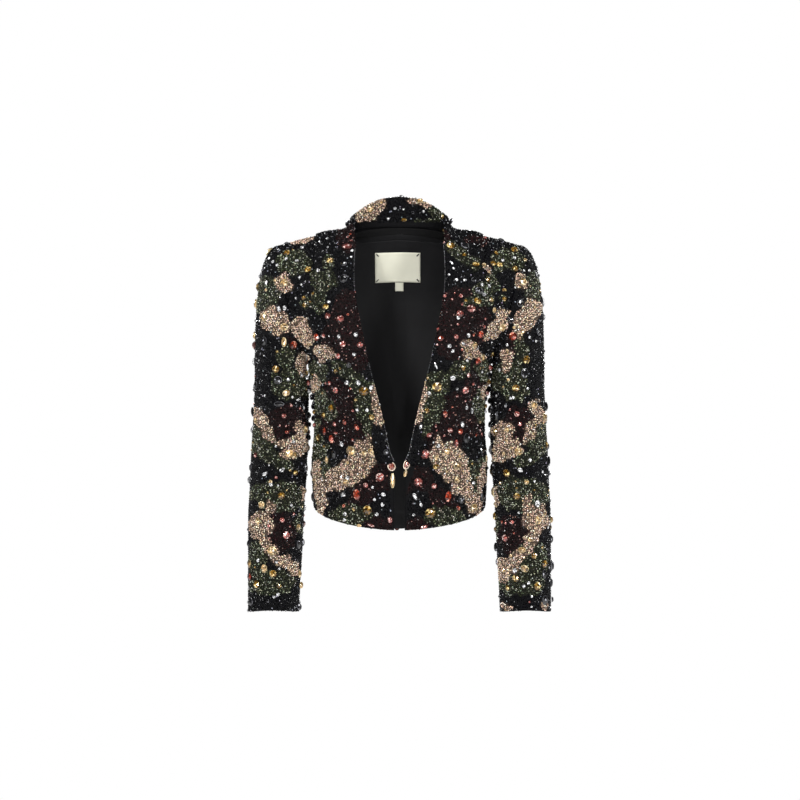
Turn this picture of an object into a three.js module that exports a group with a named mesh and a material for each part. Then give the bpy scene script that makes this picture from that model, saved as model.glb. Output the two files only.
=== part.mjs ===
// Blazer, worn shape with no wearer. Millimetres, X to the wearer's left, Y to the back, Z up.
// The origin is between the two neck points of the shoulder seams, 4.5 mm over them.
import * as THREE from "three";

const WALL = 2.4; // beaded cloth
const LINING = 1.0;
const SEAM = 0.5; // open width of a seam
const UNDER = 1.9; // air between a panel and its lining
const ACROSS_FRONT = 10; // cells across one front
const ACROSS_BACK = 20;
const PER_ROW = 2; // cells between two rows of a table
const AROUND_SLEEVE = 24;
const CAP_CELLS = 8; // cells from the armhole down to the first sleeve ring
const SHOULDER = { neckX: 84, neckY: 3, neckZ: -4.5, outX: 189, outY: 0, outZ: -26, arch: 3.4 };

// Front, from hem to shoulder: the edge at the opening, the side or armhole edge, and how far
// the cloth turns between them in degrees.
const FRONT_ROWS = [
  { name: "hem", xIn: 8.2, yIn: -104, zIn: -472.5, xOut: 138, yOut: -4, zOut: -441, turn: 90 },
  { name: "low hip", xIn: 8.2, yIn: -103, zIn: -440, xOut: 140, yOut: -3, zOut: -407, turn: 90 },
  { name: "hip", xIn: 8.2, yIn: -102, zIn: -408, xOut: 141, yOut: -2, zOut: -377, turn: 90 },
  { name: "closing", xIn: 8.6, yIn: -103, zIn: -380, xOut: 139, yOut: 0, zOut: -349, turn: 90 },
  { name: "waist", xIn: 20, yIn: -106, zIn: -352, xOut: 137, yOut: 1, zOut: -320, turn: 90 },
  { name: "over waist", xIn: 30, yIn: -114, zIn: -306, xOut: 137, yOut: 3, zOut: -286, turn: 90 },
  { name: "ribs", xIn: 41, yIn: -120, zIn: -262, xOut: 142, yOut: 4, zOut: -251, turn: 90 },
  { name: "underarm", xIn: 51, yIn: -121, zIn: -222, xOut: 147, yOut: 5, zOut: -215, turn: 86 },
  { name: "bust", xIn: 58, yIn: -119, zIn: -190, xOut: 149, yOut: -22, zOut: -200, turn: 74 },
  { name: "over bust", xIn: 65, yIn: -113, zIn: -158, xOut: 157, yOut: -45, zOut: -174, turn: 62 },
  { name: "chest", xIn: 72, yIn: -102, zIn: -126, xOut: 170, yOut: -58, zOut: -141, turn: 48 },
  { name: "high chest", xIn: 77, yIn: -86, zIn: -96, xOut: 180, yOut: -52, zOut: -100, turn: 38 },
  { name: "collar bone", xIn: 79, yIn: -62, zIn: -64, xOut: 186, yOut: -32, zOut: -62, turn: 30 },
  { name: "shoulder front", xIn: 79, yIn: -33, zIn: -29, xOut: 188, yOut: -16, zOut: -35, turn: 22 },
];

// Back, from hem to neck: the middle, then the side or armhole edge.
const BACK_ROWS = [
  { name: "hem", yMid: 94, zMid: -490, xOut: 138, yOut: -4, zOut: -441, turn: 90 },
  { name: "low hip", yMid: 91, zMid: -441, xOut: 140, yOut: -3, zOut: -407, turn: 90 },
  { name: "hip", yMid: 86, zMid: -404, xOut: 141, yOut: -2, zOut: -377, turn: 90 },
  { name: "low waist", yMid: 79, zMid: -368, xOut: 139, yOut: 0, zOut: -349, turn: 90 },
  { name: "waist", yMid: 75, zMid: -332, xOut: 137, yOut: 1, zOut: -320, turn: 90 },
  { name: "over waist", yMid: 77, zMid: -294, xOut: 137, yOut: 3, zOut: -286, turn: 90 },
  { name: "ribs", yMid: 84, zMid: -256, xOut: 142, yOut: 4, zOut: -251, turn: 90 },
  { name: "underarm", yMid: 92, zMid: -218, xOut: 147, yOut: 5, zOut: -215, turn: 88 },
  { name: "low blade", yMid: 98, zMid: -187, xOut: 150, yOut: 30, zOut: -200, turn: 74 },
  { name: "blade", yMid: 101, zMid: -154, xOut: 158, yOut: 50, zOut: -172, turn: 60 },
  { name: "over blade", yMid: 101, zMid: -118, xOut: 169, yOut: 60, zOut: -136, turn: 46 },
  { name: "high back", yMid: 96, zMid: -80, xOut: 178, yOut: 54, zOut: -98, turn: 36 },
  { name: "yoke", yMid: 87, zMid: -44, xOut: 185, yOut: 36, zOut: -64, turn: 27 },
  { name: "shoulder back", yMid: 76, zMid: -14, xOut: 188, yOut: 17, zOut: -36, turn: 20 },
];
const BACK_NECK = { y: 67, z: 8 };
const NECK_SHARE = 0.5; // share of the half back's top edge that is neck

// Bust: how far the front stands out over its rows, and the half sizes of that form.
const BUST = { x: 92, z: -196, out: 9, halfWidth: 42, halfHeight: 62 };

// Sleeve rings below the armhole: middle, half width and half depth.
const SLEEVE_RINGS = [
  { name: "upper arm", z: -259, x: 188.5, y: 1, halfWidth: 43.5, halfDepth: 61 },
  { name: "over elbow", z: -310, x: 189.5, y: -1, halfWidth: 45, halfDepth: 58 },
  { name: "elbow", z: -360, x: 191.5, y: -4, halfWidth: 46, halfDepth: 55 },
  { name: "forearm", z: -410, x: 194.5, y: -9, halfWidth: 45, halfDepth: 53 },
  { name: "mid forearm", z: -462, x: 197.5, y: -14, halfWidth: 44.5, halfDepth: 50 },
  { name: "low forearm", z: -514, x: 198.5, y: -19, halfWidth: 43.5, halfDepth: 47 },
  { name: "over cuff", z: -564, x: 200, y: -23, halfWidth: 42, halfDepth: 45 },
  { name: "cuff", z: -609.5, x: 201, y: -26, halfWidth: 41, halfDepth: 44 },
];
const CAP = { topPull: 132, underPull: 42, topDrop: 300, underDrop: 48, spread: 0.28 };
const CUFF_ARCH = 6; // how far the cuff's front edge rises in the middle

// Collar, from the closing point (0) to the middle of the back neck (1): the height of the
// stand over the neck edge, the width of the fall and how far the collar reaches inside.
const BRIDGE = { lift: 3.3, reach: 26 }; // the fall stands off the ridge of the shoulder seam
const COLLAR_ROWS = [
  { along: 0.0, stand: 0.6, fall: 11, inside: 5 },
  { along: 0.08, stand: 1.0, fall: 19, inside: 5 },
  { along: 0.2, stand: 1.4, fall: 31, inside: 5 },
  { along: 0.35, stand: 1.5, fall: 44, inside: 5 },
  { along: 0.5, stand: 1.6, fall: 53, inside: 5 },
  { along: 0.65, stand: 3, fall: 58, inside: 4 },
  { along: 0.74, stand: 6, fall: 59, inside: 2 },
  { along: 0.8, stand: 11, fall: 58, inside: 0.5 },
  { along: 0.87, stand: 23.5, fall: 56, inside: 1 },
  { along: 0.93, stand: 36.5, fall: 55, inside: 3 },
  { along: 1.0, stand: 40, fall: 54, inside: 5 },
];
const COLLAR = { within: 2.0, clear: 1.3, fallCells: 5, standCells: 3, highStand: 40 };

// Large stones on each panel: one in so many cells, how many columns the next row's stones are
// shifted, their size as a share of the cell, and their height.
const STONES = {
  front: { oneIn: 11, shift: 4, wide: 0.35, high: 4.6, margin: 1 },
  back: { oneIn: 21, shift: 8, wide: 0.33, high: 4.2, margin: 1 },
  sleeve: { oneIn: 17, shift: 5, wide: 0.37, high: 4.6, margin: 1 },
  collar: { oneIn: 9, shift: 4, wide: 0.36, high: 4.0, margin: 1 },
};
const JITTER = 0.12; // how far a stone lies off its cell's middle, as a share of the cell

const black = new THREE.MeshStandardMaterial({ color: 0x17171a, roughness: 0.7, metalness: 0 });
const beaded = new THREE.MeshStandardMaterial({ color: 0x4a4638, roughness: 0.45, metalness: 0.1 });
const paper = new THREE.MeshStandardMaterial({ color: 0xe6e4d4, roughness: 0.8, metalness: 0 });
const rose = new THREE.MeshStandardMaterial({ color: 0xb98a80, roughness: 0.15, metalness: 0.1 });

const group = new THREE.Group();
group.name = "blazer";

const clamp = THREE.MathUtils.clamp;
const lerp = THREE.MathUtils.lerp;

// A slope between two neighbouring ones that never lets the curve swing past its rows.
const slopeOf = (p, q) => (p * q > 0 ? (2 * p * q) / (p + q) : 0);

function blend(a, b, c, d, t) {
  const [start, end] = [slopeOf(b - a, c - b), slopeOf(c - b, d - c)];
  const [t2, t3] = [t * t, t * t * t];
  return b * (2 * t3 - 3 * t2 + 1) + start * (t3 - 2 * t2 + t)
    + c * (3 * t2 - 2 * t3) + end * (t3 - t2);
}

// A smooth value between the rows of a table, where curve(k) gives row k's point.
function between(count, v, curve) {
  const k = clamp(Math.floor(v), 0, count - 2);
  const t = v - k;
  const [b, c] = [curve(k), curve(k + 1)];
  const a = k > 0 ? curve(k - 1) : b.clone().multiplyScalar(2).sub(c);
  const d = k + 2 < count ? curve(k + 2) : c.clone().multiplyScalar(2).sub(b);
  return new THREE.Vector3(
    blend(a.x, b.x, c.x, d.x, t), blend(a.y, b.y, c.y, d.y, t), blend(a.z, b.z, c.z, d.z, t));
}

// A value from a table whose rows are keyed by "along".
function fromTable(rows, along, column) {
  const k = clamp(rows.findIndex((row) => row.along >= along), 1, rows.length - 1);
  const [low, high] = [rows[k - 1], rows[k]];
  const t = THREE.MathUtils.smootherstep(along, low.along, high.along);
  const straight = (along - low.along) / (high.along - low.along);
  return lerp(low[column], high[column], 0.3 * t + 0.7 * straight);
}

function acrossRow(start, end, turn, u) {
  const angle = THREE.MathUtils.degToRad(turn);
  const side = Math.sin(u * angle) / Math.sin(angle);
  const round = (Math.cos(u * angle) - Math.cos(angle)) / (1 - Math.cos(angle));
  return new THREE.Vector3(
    lerp(start.x, end.x, side), lerp(end.y, start.y, round), lerp(start.z, end.z, u ** 1.5));
}

// Height of the shoulder seam, from the neck point (0) to the shoulder point (1).
function shoulderHeight(t) {
  return lerp(SHOULDER.neckZ, SHOULDER.outZ, t) + SHOULDER.arch * Math.sin(Math.PI * t);
}

function frontSurface(u, v) {
  const point = between(FRONT_ROWS.length + 1, v, (k) => {
    if (k === FRONT_ROWS.length) {
      return new THREE.Vector3(
        lerp(SHOULDER.neckX, SHOULDER.outX, u),
        lerp(SHOULDER.neckY, SHOULDER.outY, u) - SEAM / 2,
        shoulderHeight(u));
    }
    const row = FRONT_ROWS[k];
    return acrossRow(
      { x: row.xIn, y: row.yIn, z: row.zIn },
      { x: row.xOut, y: row.yOut - SEAM / 2, z: row.zOut }, row.turn, u);
  });
  const dx = (point.x - BUST.x) / BUST.halfWidth;
  const dz = (point.z - BUST.z) / BUST.halfHeight;
  point.y -= BUST.out * Math.exp(-dx * dx - dz * dz);
  return point;
}

// u runs from the wearer's right side (-1) to the left side (1).
function backSurface(u, v) {
  const half = Math.abs(u);
  const point = between(BACK_ROWS.length + 1, v, (k) => {
    if (k === BACK_ROWS.length) {
      if (half <= NECK_SHARE) {
        const angle = (half / NECK_SHARE) * Math.PI / 2;
        return new THREE.Vector3(
          SHOULDER.neckX * Math.sin(angle),
          lerp(SHOULDER.neckY, BACK_NECK.y, Math.cos(angle)) + SEAM / 2,
          lerp(SHOULDER.neckZ, BACK_NECK.z, Math.cos(angle)));
      }
      const t = (half - NECK_SHARE) / (1 - NECK_SHARE);
      return new THREE.Vector3(
        lerp(SHOULDER.neckX, SHOULDER.outX, t),
        lerp(SHOULDER.neckY, SHOULDER.outY, t) + SEAM / 2,
        shoulderHeight(t));
    }
    const row = BACK_ROWS[k];
    return acrossRow(
      { x: 0, y: row.yMid, z: row.zMid },
      { x: row.xOut, y: row.yOut + SEAM / 2, z: row.zOut }, row.turn, half);
  });
  if (u < 0) point.x = -point.x;
  return point;
}

const FRONT_TOP = FRONT_ROWS.length;
const BACK_TOP = BACK_ROWS.length;
const UNDERARM = FRONT_ROWS.findIndex((row) => row.name === "underarm");
const CLOSING = FRONT_ROWS.findIndex((row) => row.name === "closing");

// The direction out of the cloth at (u, v). The two ways along a surface are taken so that
// their cross product points out.
function normalOf(surface, u, v, highest, flip) {
  const step = 0.01;
  const [u0, u1] = [Math.max(u - step, flip.low), Math.min(u + step, 1)];
  const [v0, v1] = [Math.max(v - step, 0), Math.min(v + step, highest)];
  const du = surface(u1, v).sub(surface(u0, v));
  const dv = surface(u, v1).sub(surface(u, v0));
  return du.cross(dv).multiplyScalar(flip.sign).normalize();
}
const FRONT_OUT = { low: 0, sign: 1 };
const BACK_OUT = { low: -1, sign: -1 };
const frontNormal = (u, v) => normalOf(frontSurface, u, v, FRONT_TOP, FRONT_OUT);
const backNormal = (u, v) => normalOf(backSurface, u, v, BACK_TOP, BACK_OUT);

function newBody() {
  return { points: [], faces: [] };
}

function addPoint(body, point) {
  body.points.push(point.x, point.y, point.z);
  return body.points.length / 3 - 1;
}

function addMesh(body, name, material, mirror = false) {
  const geometry = new THREE.BufferGeometry();
  const points = body.points.map((value, k) => (mirror && k % 3 === 0 ? -value : value));
  const faces = [];
  for (let k = 0; k < body.faces.length; k += 3) {
    const [a, b, c] = body.faces.slice(k, k + 3);
    faces.push(a, ...(mirror ? [c, b] : [b, c]));
  }
  geometry.setAttribute("position", new THREE.Float32BufferAttribute(points, 3));
  geometry.setIndex(faces);
  geometry.computeVertexNormals();
  const mesh = new THREE.Mesh(geometry, material);
  mesh.name = name;
  group.add(mesh);
}

// Normals of a grid of points, out of the side that a to b to c turns left around.
function gridNormals(grid, round) {
  const rows = grid.length;
  const cols = grid[0].length;
  return grid.map((line, i) => line.map((_, j) => {
    const up = grid[Math.min(i + 1, rows - 1)][j].clone().sub(grid[Math.max(i - 1, 0)][j]);
    const next = round ? (j + 1) % cols : Math.min(j + 1, cols - 1);
    const last = round ? (j + cols - 1) % cols : Math.max(j - 1, 0);
    return line[next].clone().sub(line[last]).cross(up).normalize();
  }));
}

// A raised stone in one cell: a ring of eight points on the cloth and eight over them.
function raiseStone(body, corners, at, stone) {
  const sides = 8;
  const ring = [];
  const top = [];
  for (let k = 0; k < sides; k += 1) {
    const angle = (k + 0.5) * 2 * Math.PI / sides;
    const [a, b] = [Math.cos(angle), Math.sin(angle)];
    const place = (grow) => at(
      0.5 + stone.offA + grow * stone.wide * a, 0.5 + stone.offB + grow * stone.wide * b);
    const low = place(1);
    const high = place(0.66);
    ring.push(addPoint(body, low.point));
    top.push(addPoint(body, high.point.clone().addScaledVector(high.normal, stone.high)));
  }
  for (let side = 0; side < 4; side += 1) {
    const [first, second] = [corners[side], corners[(side + 1) % 4]];
    const near = ring[(2 * side + 5) % sides];
    const far = ring[(2 * side + 6) % sides];
    body.faces.push(first, second, far, first, far, near);
    body.faces.push(second, ring[(2 * side + 7) % sides], far);
  }
  for (let k = 0; k < sides; k += 1) {
    const n = (k + 1) % sides;
    body.faces.push(ring[k], ring[n], top[n], ring[k], top[n], top[k]);
    if (k > 0 && k < sides - 1) body.faces.push(top[0], top[k], top[n]);
  }
}

// Normals of a panel, with those on the side and shoulder seams square to the seam.
function panelNormals(grid, onSeam) {
  const normals = gridNormals(grid, false);
  normals.forEach((line, i) => line.forEach((normal, j) => {
    if (onSeam(i, j)) normal.setY(0).normalize();
  }));
  return normals;
}

// A closed wall under a grid of outer points, thick millimetres inwards, with stones raised
// in the cells where stoneAt(i, j) gives one.
function wallBody(grid, { thick, round = false, stoneAt = () => null, normals }) {
  const body = newBody();
  normals = normals ?? gridNormals(grid, round);
  const rows = grid.length;
  const cols = grid[0].length;
  const outer = grid.map((line) => line.map((point) => addPoint(body, point)));
  const inner = grid.map((line, i) => line.map((point, j) =>
    addPoint(body, point.clone().addScaledVector(normals[i][j], -thick))));
  const cells = round ? cols : cols - 1;
  for (let i = 0; i < rows - 1; i += 1) {
    for (let j = 0; j < cells; j += 1) {
      const n = (j + 1) % cols;
      const corners = [outer[i][j], outer[i][n], outer[i + 1][n], outer[i + 1][j]];
      const stone = stoneAt(i, j);
      if (stone) {
        raiseStone(body, corners, (a, b) => {
          const mix = (field) => field[i][j].clone().multiplyScalar((1 - a) * (1 - b))
            .addScaledVector(field[i][n], a * (1 - b))
            .addScaledVector(field[i + 1][n], a * b)
            .addScaledVector(field[i + 1][j], (1 - a) * b);
          return { point: mix(grid), normal: mix(normals).normalize() };
        }, stone);
      } else {
        body.faces.push(corners[0], corners[1], corners[2], corners[0], corners[2], corners[3]);
      }
      body.faces.push(inner[i][j], inner[i + 1][n], inner[i][n]);
      body.faces.push(inner[i][j], inner[i + 1][j], inner[i + 1][n]);
    }
  }
  for (let j = 0; j < cells; j += 1) {
    const n = (j + 1) % cols;
    const last = rows - 1;
    body.faces.push(outer[0][j], inner[0][j], inner[0][n], outer[0][j], inner[0][n], outer[0][n]);
    body.faces.push(outer[last][j], inner[last][n], inner[last][j]);
    body.faces.push(outer[last][j], outer[last][n], inner[last][n]);
  }
  if (!round) {
    const end = cols - 1;
    for (let i = 0; i < rows - 1; i += 1) {
      body.faces.push(outer[i][0], inner[i + 1][0], inner[i][0]);
      body.faces.push(outer[i][0], outer[i + 1][0], inner[i + 1][0]);
      body.faces.push(outer[i][end], inner[i][end], inner[i + 1][end]);
      body.faces.push(outer[i][end], inner[i + 1][end], outer[i + 1][end]);
    }
  }
  return body;
}

// Stones on a slanting lattice, each a little off its place, clear of a panel's edges.
function scatter(rule, rows, cols, { covered = () => false, round = false } = {}) {
  return (i, j) => {
    const near = round ? Math.min(i, rows - 1 - i) : Math.min(i, j, rows - 1 - i, cols - 1 - j);
    const chosen = (i * rule.shift + j) % rule.oneIn === 0;
    if (!chosen || near < rule.margin || covered(i, j)) return null;
    const turn = 2.4 * (i + 3 * j);
    return {
      wide: rule.wide * (0.86 + 0.14 * Math.sin(5 * turn)),
      high: rule.high,
      offA: JITTER * Math.cos(turn),
      offB: JITTER * Math.sin(turn),
    };
  };
}

function surfaceGrid(surface, rows, cols, uAt, vAt) {
  const grid = [];
  for (let i = 0; i <= rows; i += 1) {
    grid.push([]);
    for (let j = 0; j <= cols; j += 1) grid[i].push(surface(uAt(j), vAt(i)));
  }
  return grid;
}

// Fronts. The lapel covers the inner cells over the closing point, so no stone is raised there.
const frontCells = FRONT_TOP * PER_ROW;
const frontGrid = surfaceGrid(
  frontSurface, frontCells, ACROSS_FRONT, (j) => j / ACROSS_FRONT, (i) => i / PER_ROW);
const underLapel = (i, j) => i > (CLOSING - 1) * PER_ROW && j < (i > 14 ? 6 : 4);
const sideTop = UNDERARM * PER_ROW;
const frontNormals = panelNormals(frontGrid, (i, j) =>
  i === frontCells || (j === ACROSS_FRONT && i <= sideTop));
const frontBody = wallBody(frontGrid, {
  thick: WALL,
  normals: frontNormals,
  stoneAt: scatter(STONES.front, frontCells, ACROSS_FRONT, { covered: underLapel }),
});
addMesh(frontBody, "left_front", beaded);
addMesh(frontBody, "right_front", beaded, true);

// Back. Its columns run from the wearer's left to the right, so that they turn outwards.
const backCells = BACK_TOP * PER_ROW;
const backColumn = (j) => 1 - (2 * j) / ACROSS_BACK;
const backGrid = surfaceGrid(
  backSurface, backCells, ACROSS_BACK, backColumn, (i) => i / PER_ROW);
const underFall = (i, j) => i > backCells - 5 && Math.abs(backColumn(j)) < 0.75;
const backNormals = panelNormals(backGrid, (i, j) =>
  (i === backCells && Math.abs(backColumn(j)) > NECK_SHARE - 0.01)
  || ((j === 0 || j === ACROSS_BACK) && i <= sideTop));
addMesh(wallBody(backGrid, {
  thick: WALL,
  normals: backNormals,
  stoneAt: scatter(STONES.back, backCells, ACROSS_BACK, { covered: underFall }),
}), "back", beaded);

// Points moved in from a panel's own outer points, for what lies on its inside.
function inside(grid, normals, depth, rowRange, colRange) {
  const part = [];
  for (let i = rowRange[0]; i <= rowRange[1]; i += 1) {
    part.push([]);
    for (let j = colRange[0]; j <= colRange[1]; j += 1) {
      part[part.length - 1].push(grid[i][j].clone().addScaledVector(normals[i][j], -depth));
    }
  }
  return part;
}

const liningDepth = WALL + UNDER;
const FACING_ROWS = 1; // cells from the neck edge down to the lining
const LINING_STEP = 2; // cells of the back to one of the lining
const liningTop = backCells - FACING_ROWS;
const lining = inside(backGrid, backNormals, liningDepth, [1, liningTop], [1, ACROSS_BACK - 1])
  .filter((_, i) => i % LINING_STEP === 0);
addMesh(wallBody(lining, { thick: LINING }), "back_lining", black);

// Black strip between the collar's inner edge and the lining, on the back's inside.
const FACING = { low: 0.05, high: 0.55, width: 0.4 };
const stripEnds = [];
for (let j = 0; j <= ACROSS_BACK; j += 1) {
  if (Math.abs(backColumn(j)) < FACING.width) stripEnds.push(j);
}
const [underStrip, overStrip] = inside(backGrid, backNormals, liningDepth,
  [liningTop, backCells], [stripEnds[0], stripEnds[stripEnds.length - 1]]);
const strip = [FACING.low, (FACING.low + FACING.high) / 2, FACING.high].map((t) =>
  underStrip.map((point, j) => point.clone().lerp(overStrip[j], t)));
addMesh(wallBody(strip, { thick: LINING }), "neck_facing", black);

// Labels on the lining, bare.
const LABELS = [
  { name: "label", x: -3, width: 75, top: -34.5, bottom: -84.5, cells: 6 },
  { name: "size_tab", x: -0.3, width: 13.5, top: -85.1, bottom: -99.9, cells: 2 },
];
function rowAtHeight(z) {
  let [low, high] = [0, BACK_TOP];
  for (let k = 0; k < 40; k += 1) {
    const mid = (low + high) / 2;
    if (backSurface(0, mid).z < z) low = mid;
    else high = mid;
  }
  return (low + high) / 2;
}
function columnAtSide(x, v) {
  let [low, high] = [-1, 1];
  for (let k = 0; k < 40; k += 1) {
    const mid = (low + high) / 2;
    if (backSurface(mid, v).x < x) low = mid;
    else high = mid;
  }
  return (low + high) / 2;
}
for (const label of LABELS) {
  const rows = 3;
  const grid = [];
  for (let i = 0; i <= rows; i += 1) {
    const v = rowAtHeight(lerp(label.bottom, label.top, i / rows));
    grid.push([]);
    for (let j = 0; j <= label.cells; j += 1) {
      const u = columnAtSide(label.x + label.width * (0.5 - j / label.cells), v);
      const depth = liningDepth + LINING + 0.9;
      grid[i].push(backSurface(u, v).addScaledVector(backNormal(u, v), -depth));
    }
  }
  addMesh(wallBody(grid, { thick: 0.6 }), label.name, paper);
}

// Sleeve: from the armhole loop over the cap to the rings.
function loopPoint(share) {
  // 0 is the shoulder point, 0.25 the front, 0.5 the underarm, 0.75 the back
  const front = share <= 0.5;
  const down = front ? share * 2 : 2 - share * 2;
  const top = front ? FRONT_TOP : BACK_TOP;
  const bottom = UNDERARM;
  const v = lerp(top, bottom, down);
  return front ? frontSurface(1, v) : backSurface(1, v);
}
const loop = [];
for (let j = 0; j < AROUND_SLEEVE; j += 1) loop.push(loopPoint(j / AROUND_SLEEVE));

function ringPoint(ring, share) {
  const angle = share * 2 * Math.PI;
  const arch = ring.name === "cuff" ? CUFF_ARCH * Math.max(0, Math.sin(angle)) ** 2 : 0;
  return new THREE.Vector3(
    ring.x + ring.halfWidth * Math.cos(angle),
    ring.y - ring.halfDepth * Math.sin(angle),
    ring.z + arch);
}

function capPoint(j, t) {
  const share = j / AROUND_SLEEVE;
  const start = loop[j].clone();
  start.x += 0.8;
  const high = clamp((start.z - loop[AROUND_SLEEVE / 2].z) / 188, 0, 1);
  const end = ringPoint(SLEEVE_RINGS[0], share);
  const pull = lerp(CAP.underPull, CAP.topPull, high);
  const slope = Math.sqrt(1 - high * high);
  const out = new THREE.Vector3(
    pull * Math.max(high, 0.18), (start.y - end.y * 0.2) * CAP.spread, -pull * slope * 0.75);
  const drop = new THREE.Vector3(4, 0, -lerp(CAP.underDrop, CAP.topDrop, high));
  const [t2, t3] = [t * t, t * t * t];
  return start.multiplyScalar(2 * t3 - 3 * t2 + 1)
    .addScaledVector(out, t3 - 2 * t2 + t)
    .addScaledVector(end, 3 * t2 - 2 * t3)
    .addScaledVector(drop, t3 - t2);
}

const sleeveGrid = [];
const ringCells = (SLEEVE_RINGS.length - 1) * PER_ROW;
for (let i = ringCells; i > 0; i -= 1) {
  sleeveGrid.push([]);
  for (let j = 0; j < AROUND_SLEEVE; j += 1) {
    sleeveGrid[sleeveGrid.length - 1].push(between(SLEEVE_RINGS.length, i / PER_ROW,
      (k) => ringPoint(SLEEVE_RINGS[k], -j / AROUND_SLEEVE)));
  }
}
for (let i = CAP_CELLS; i >= 0; i -= 1) {
  sleeveGrid.push([]);
  for (let j = 0; j < AROUND_SLEEVE; j += 1) {
    const k = (AROUND_SLEEVE - j) % AROUND_SLEEVE;
    sleeveGrid[sleeveGrid.length - 1].push(capPoint(k, i / CAP_CELLS));
  }
}
const sleeveBody = wallBody(sleeveGrid, {
  thick: WALL,
  round: true,
  stoneAt: scatter(STONES.sleeve, sleeveGrid.length - 1, AROUND_SLEEVE, {
    covered: (i, j) => Math.abs(j - AROUND_SLEEVE / 2) < 4,
    round: true,
  }),
});
addMesh(sleeveBody, "left_sleeve", beaded);
addMesh(sleeveBody, "right_sleeve", beaded, true);

// Collar. Its stations follow the edge from the closing point up the front and round the neck.
const panelSamples = [];
for (let v = CLOSING - 1; v <= FRONT_TOP; v += 0.2) {
  for (let u = 0; u <= 1; u += 0.05) {
    panelSamples.push({ point: frontSurface(u, v), normal: frontNormal(u, v) });
  }
}
for (let v = BACK_TOP - 3; v <= BACK_TOP; v += 0.1) {
  for (let u = -1; u <= 1; u += 0.04) {
    panelSamples.push({ point: backSurface(u, v), normal: backNormal(u, v) });
  }
}

// Over the ridge of the shoulder seam the cloth lies on the average of both sides.
const RIDGE = 16;
const evened = panelSamples.map((sample) => {
  const sum = new THREE.Vector3();
  for (const other of panelSamples) {
    if (other.point.distanceToSquared(sample.point) < RIDGE * RIDGE) sum.add(other.normal);
  }
  return sum.normalize();
});
panelSamples.forEach((sample, k) => {
  sample.normal = evened[k];
});

function nearestSample(point) {
  let best = panelSamples[0];
  let distance = Infinity;
  for (const sample of panelSamples) {
    const d = sample.point.distanceToSquared(point);
    if (d < distance) [best, distance] = [sample, d];
  }
  return best;
}

const edge = [];
for (let i = CLOSING * PER_ROW + 1; i < frontCells; i += 1) {
  edge.push({ point: frontGrid[i][0].clone(), normal: frontNormals[i][0] });
}
edge.push({
  point: new THREE.Vector3(SHOULDER.neckX, SHOULDER.neckY, SHOULDER.neckZ),
  normal: frontNormals[frontCells][0],
});
backGrid[backCells].forEach((point, j) => {
  const u = backColumn(j);
  if (u < NECK_SHARE - 0.01 && u > -0.01) {
    edge.push({ point: point.clone(), normal: backNormals[backCells][j] });
  }
});
let travelled = 0;
edge.forEach((station, k) => {
  if (k > 0) travelled += station.point.distanceTo(edge[k - 1].point);
  station.travelled = travelled;
});

function collarSection(station, k) {
  const before = edge[Math.max(k - 1, 0)].point;
  const after = k === edge.length - 1
    ? edge[k - 1].point.clone().multiply(new THREE.Vector3(-1, 1, 1))
    : edge[k + 1].point;
  const tangent = after.clone().sub(before).normalize();
  const { point, normal } = station;
  const along = station.travelled / travelled;
  const stand = fromTable(COLLAR_ROWS, along, "stand");
  const fall = fromTable(COLLAR_ROWS, along, "fall");
  const down = tangent.clone().cross(normal).normalize();
  const rise = clamp(stand / COLLAR.highStand, 0, 1) ** 0.6;
  const up = down.clone().multiplyScalar(-(1 - rise))
    .addScaledVector(new THREE.Vector3(0, 0.08, 1), rise).normalize();
  const out = tangent.clone().cross(up).normalize();
  const crest = point.clone().addScaledVector(up, stand);
  const low = -(2 * WALL + COLLAR.within);
  const high = COLLAR.clear + WALL;
  const place = (q, offset) => {
    if (q <= stand) {
      const t = THREE.MathUtils.smoothstep(q, 0, stand);
      const way = out.clone().multiplyScalar(1 - t).addScaledVector(normal, t).normalize();
      return crest.clone().addScaledVector(up, -q).addScaledVector(way, offset);
    }
    const straight = point.clone().addScaledVector(down, q - stand);
    const sample = nearestSample(straight);
    const over = straight.clone().sub(sample.point).dot(sample.normal);
    const away = (sample.point.y - SHOULDER.neckY) / BRIDGE.reach;
    const lift = offset > 0 ? BRIDGE.lift * Math.exp(-away * away) : 0;
    return straight.addScaledVector(sample.normal, offset + lift - over);
  };
  const section = [];
  section.push(place(stand + fromTable(COLLAR_ROWS, along, "inside"), low));
  for (let c = COLLAR.standCells; c >= 0; c -= 1) {
    section.push(place((stand * c) / COLLAR.standCells, low));
  }
  const radius = (high - low) / 2;
  const middle = crest.clone().addScaledVector(out, (high + low) / 2);
  for (const degrees of [45, 90, 135]) {
    const angle = THREE.MathUtils.degToRad(degrees);
    section.push(middle.clone().addScaledVector(out, -radius * Math.cos(angle))
      .addScaledVector(up, radius * Math.sin(angle)));
  }
  section.push(place(0, high));
  for (let c = 1; c <= COLLAR.fallCells; c += 1) {
    section.push(place((fall * c) / COLLAR.fallCells, high));
  }
  return section;
}
const halfCollar = edge.map(collarSection);
const mirrored = halfCollar.slice(0, -1).reverse().map((section) =>
  section.map((point) => new THREE.Vector3(-point.x, point.y, point.z)));
const collarGrid = halfCollar.concat(mirrored);
const lastSection = halfCollar[halfCollar.length - 1];
for (const point of lastSection) point.x = 0;
const firstFallCell = COLLAR.standCells + 6;
addMesh(wallBody(collarGrid, {
  thick: WALL,
  stoneAt: scatter(STONES.collar, collarGrid.length - 1, lastSection.length - 1, {
    covered: (i, j) => j < firstFallCell,
  }),
}), "collar", beaded);

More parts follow.
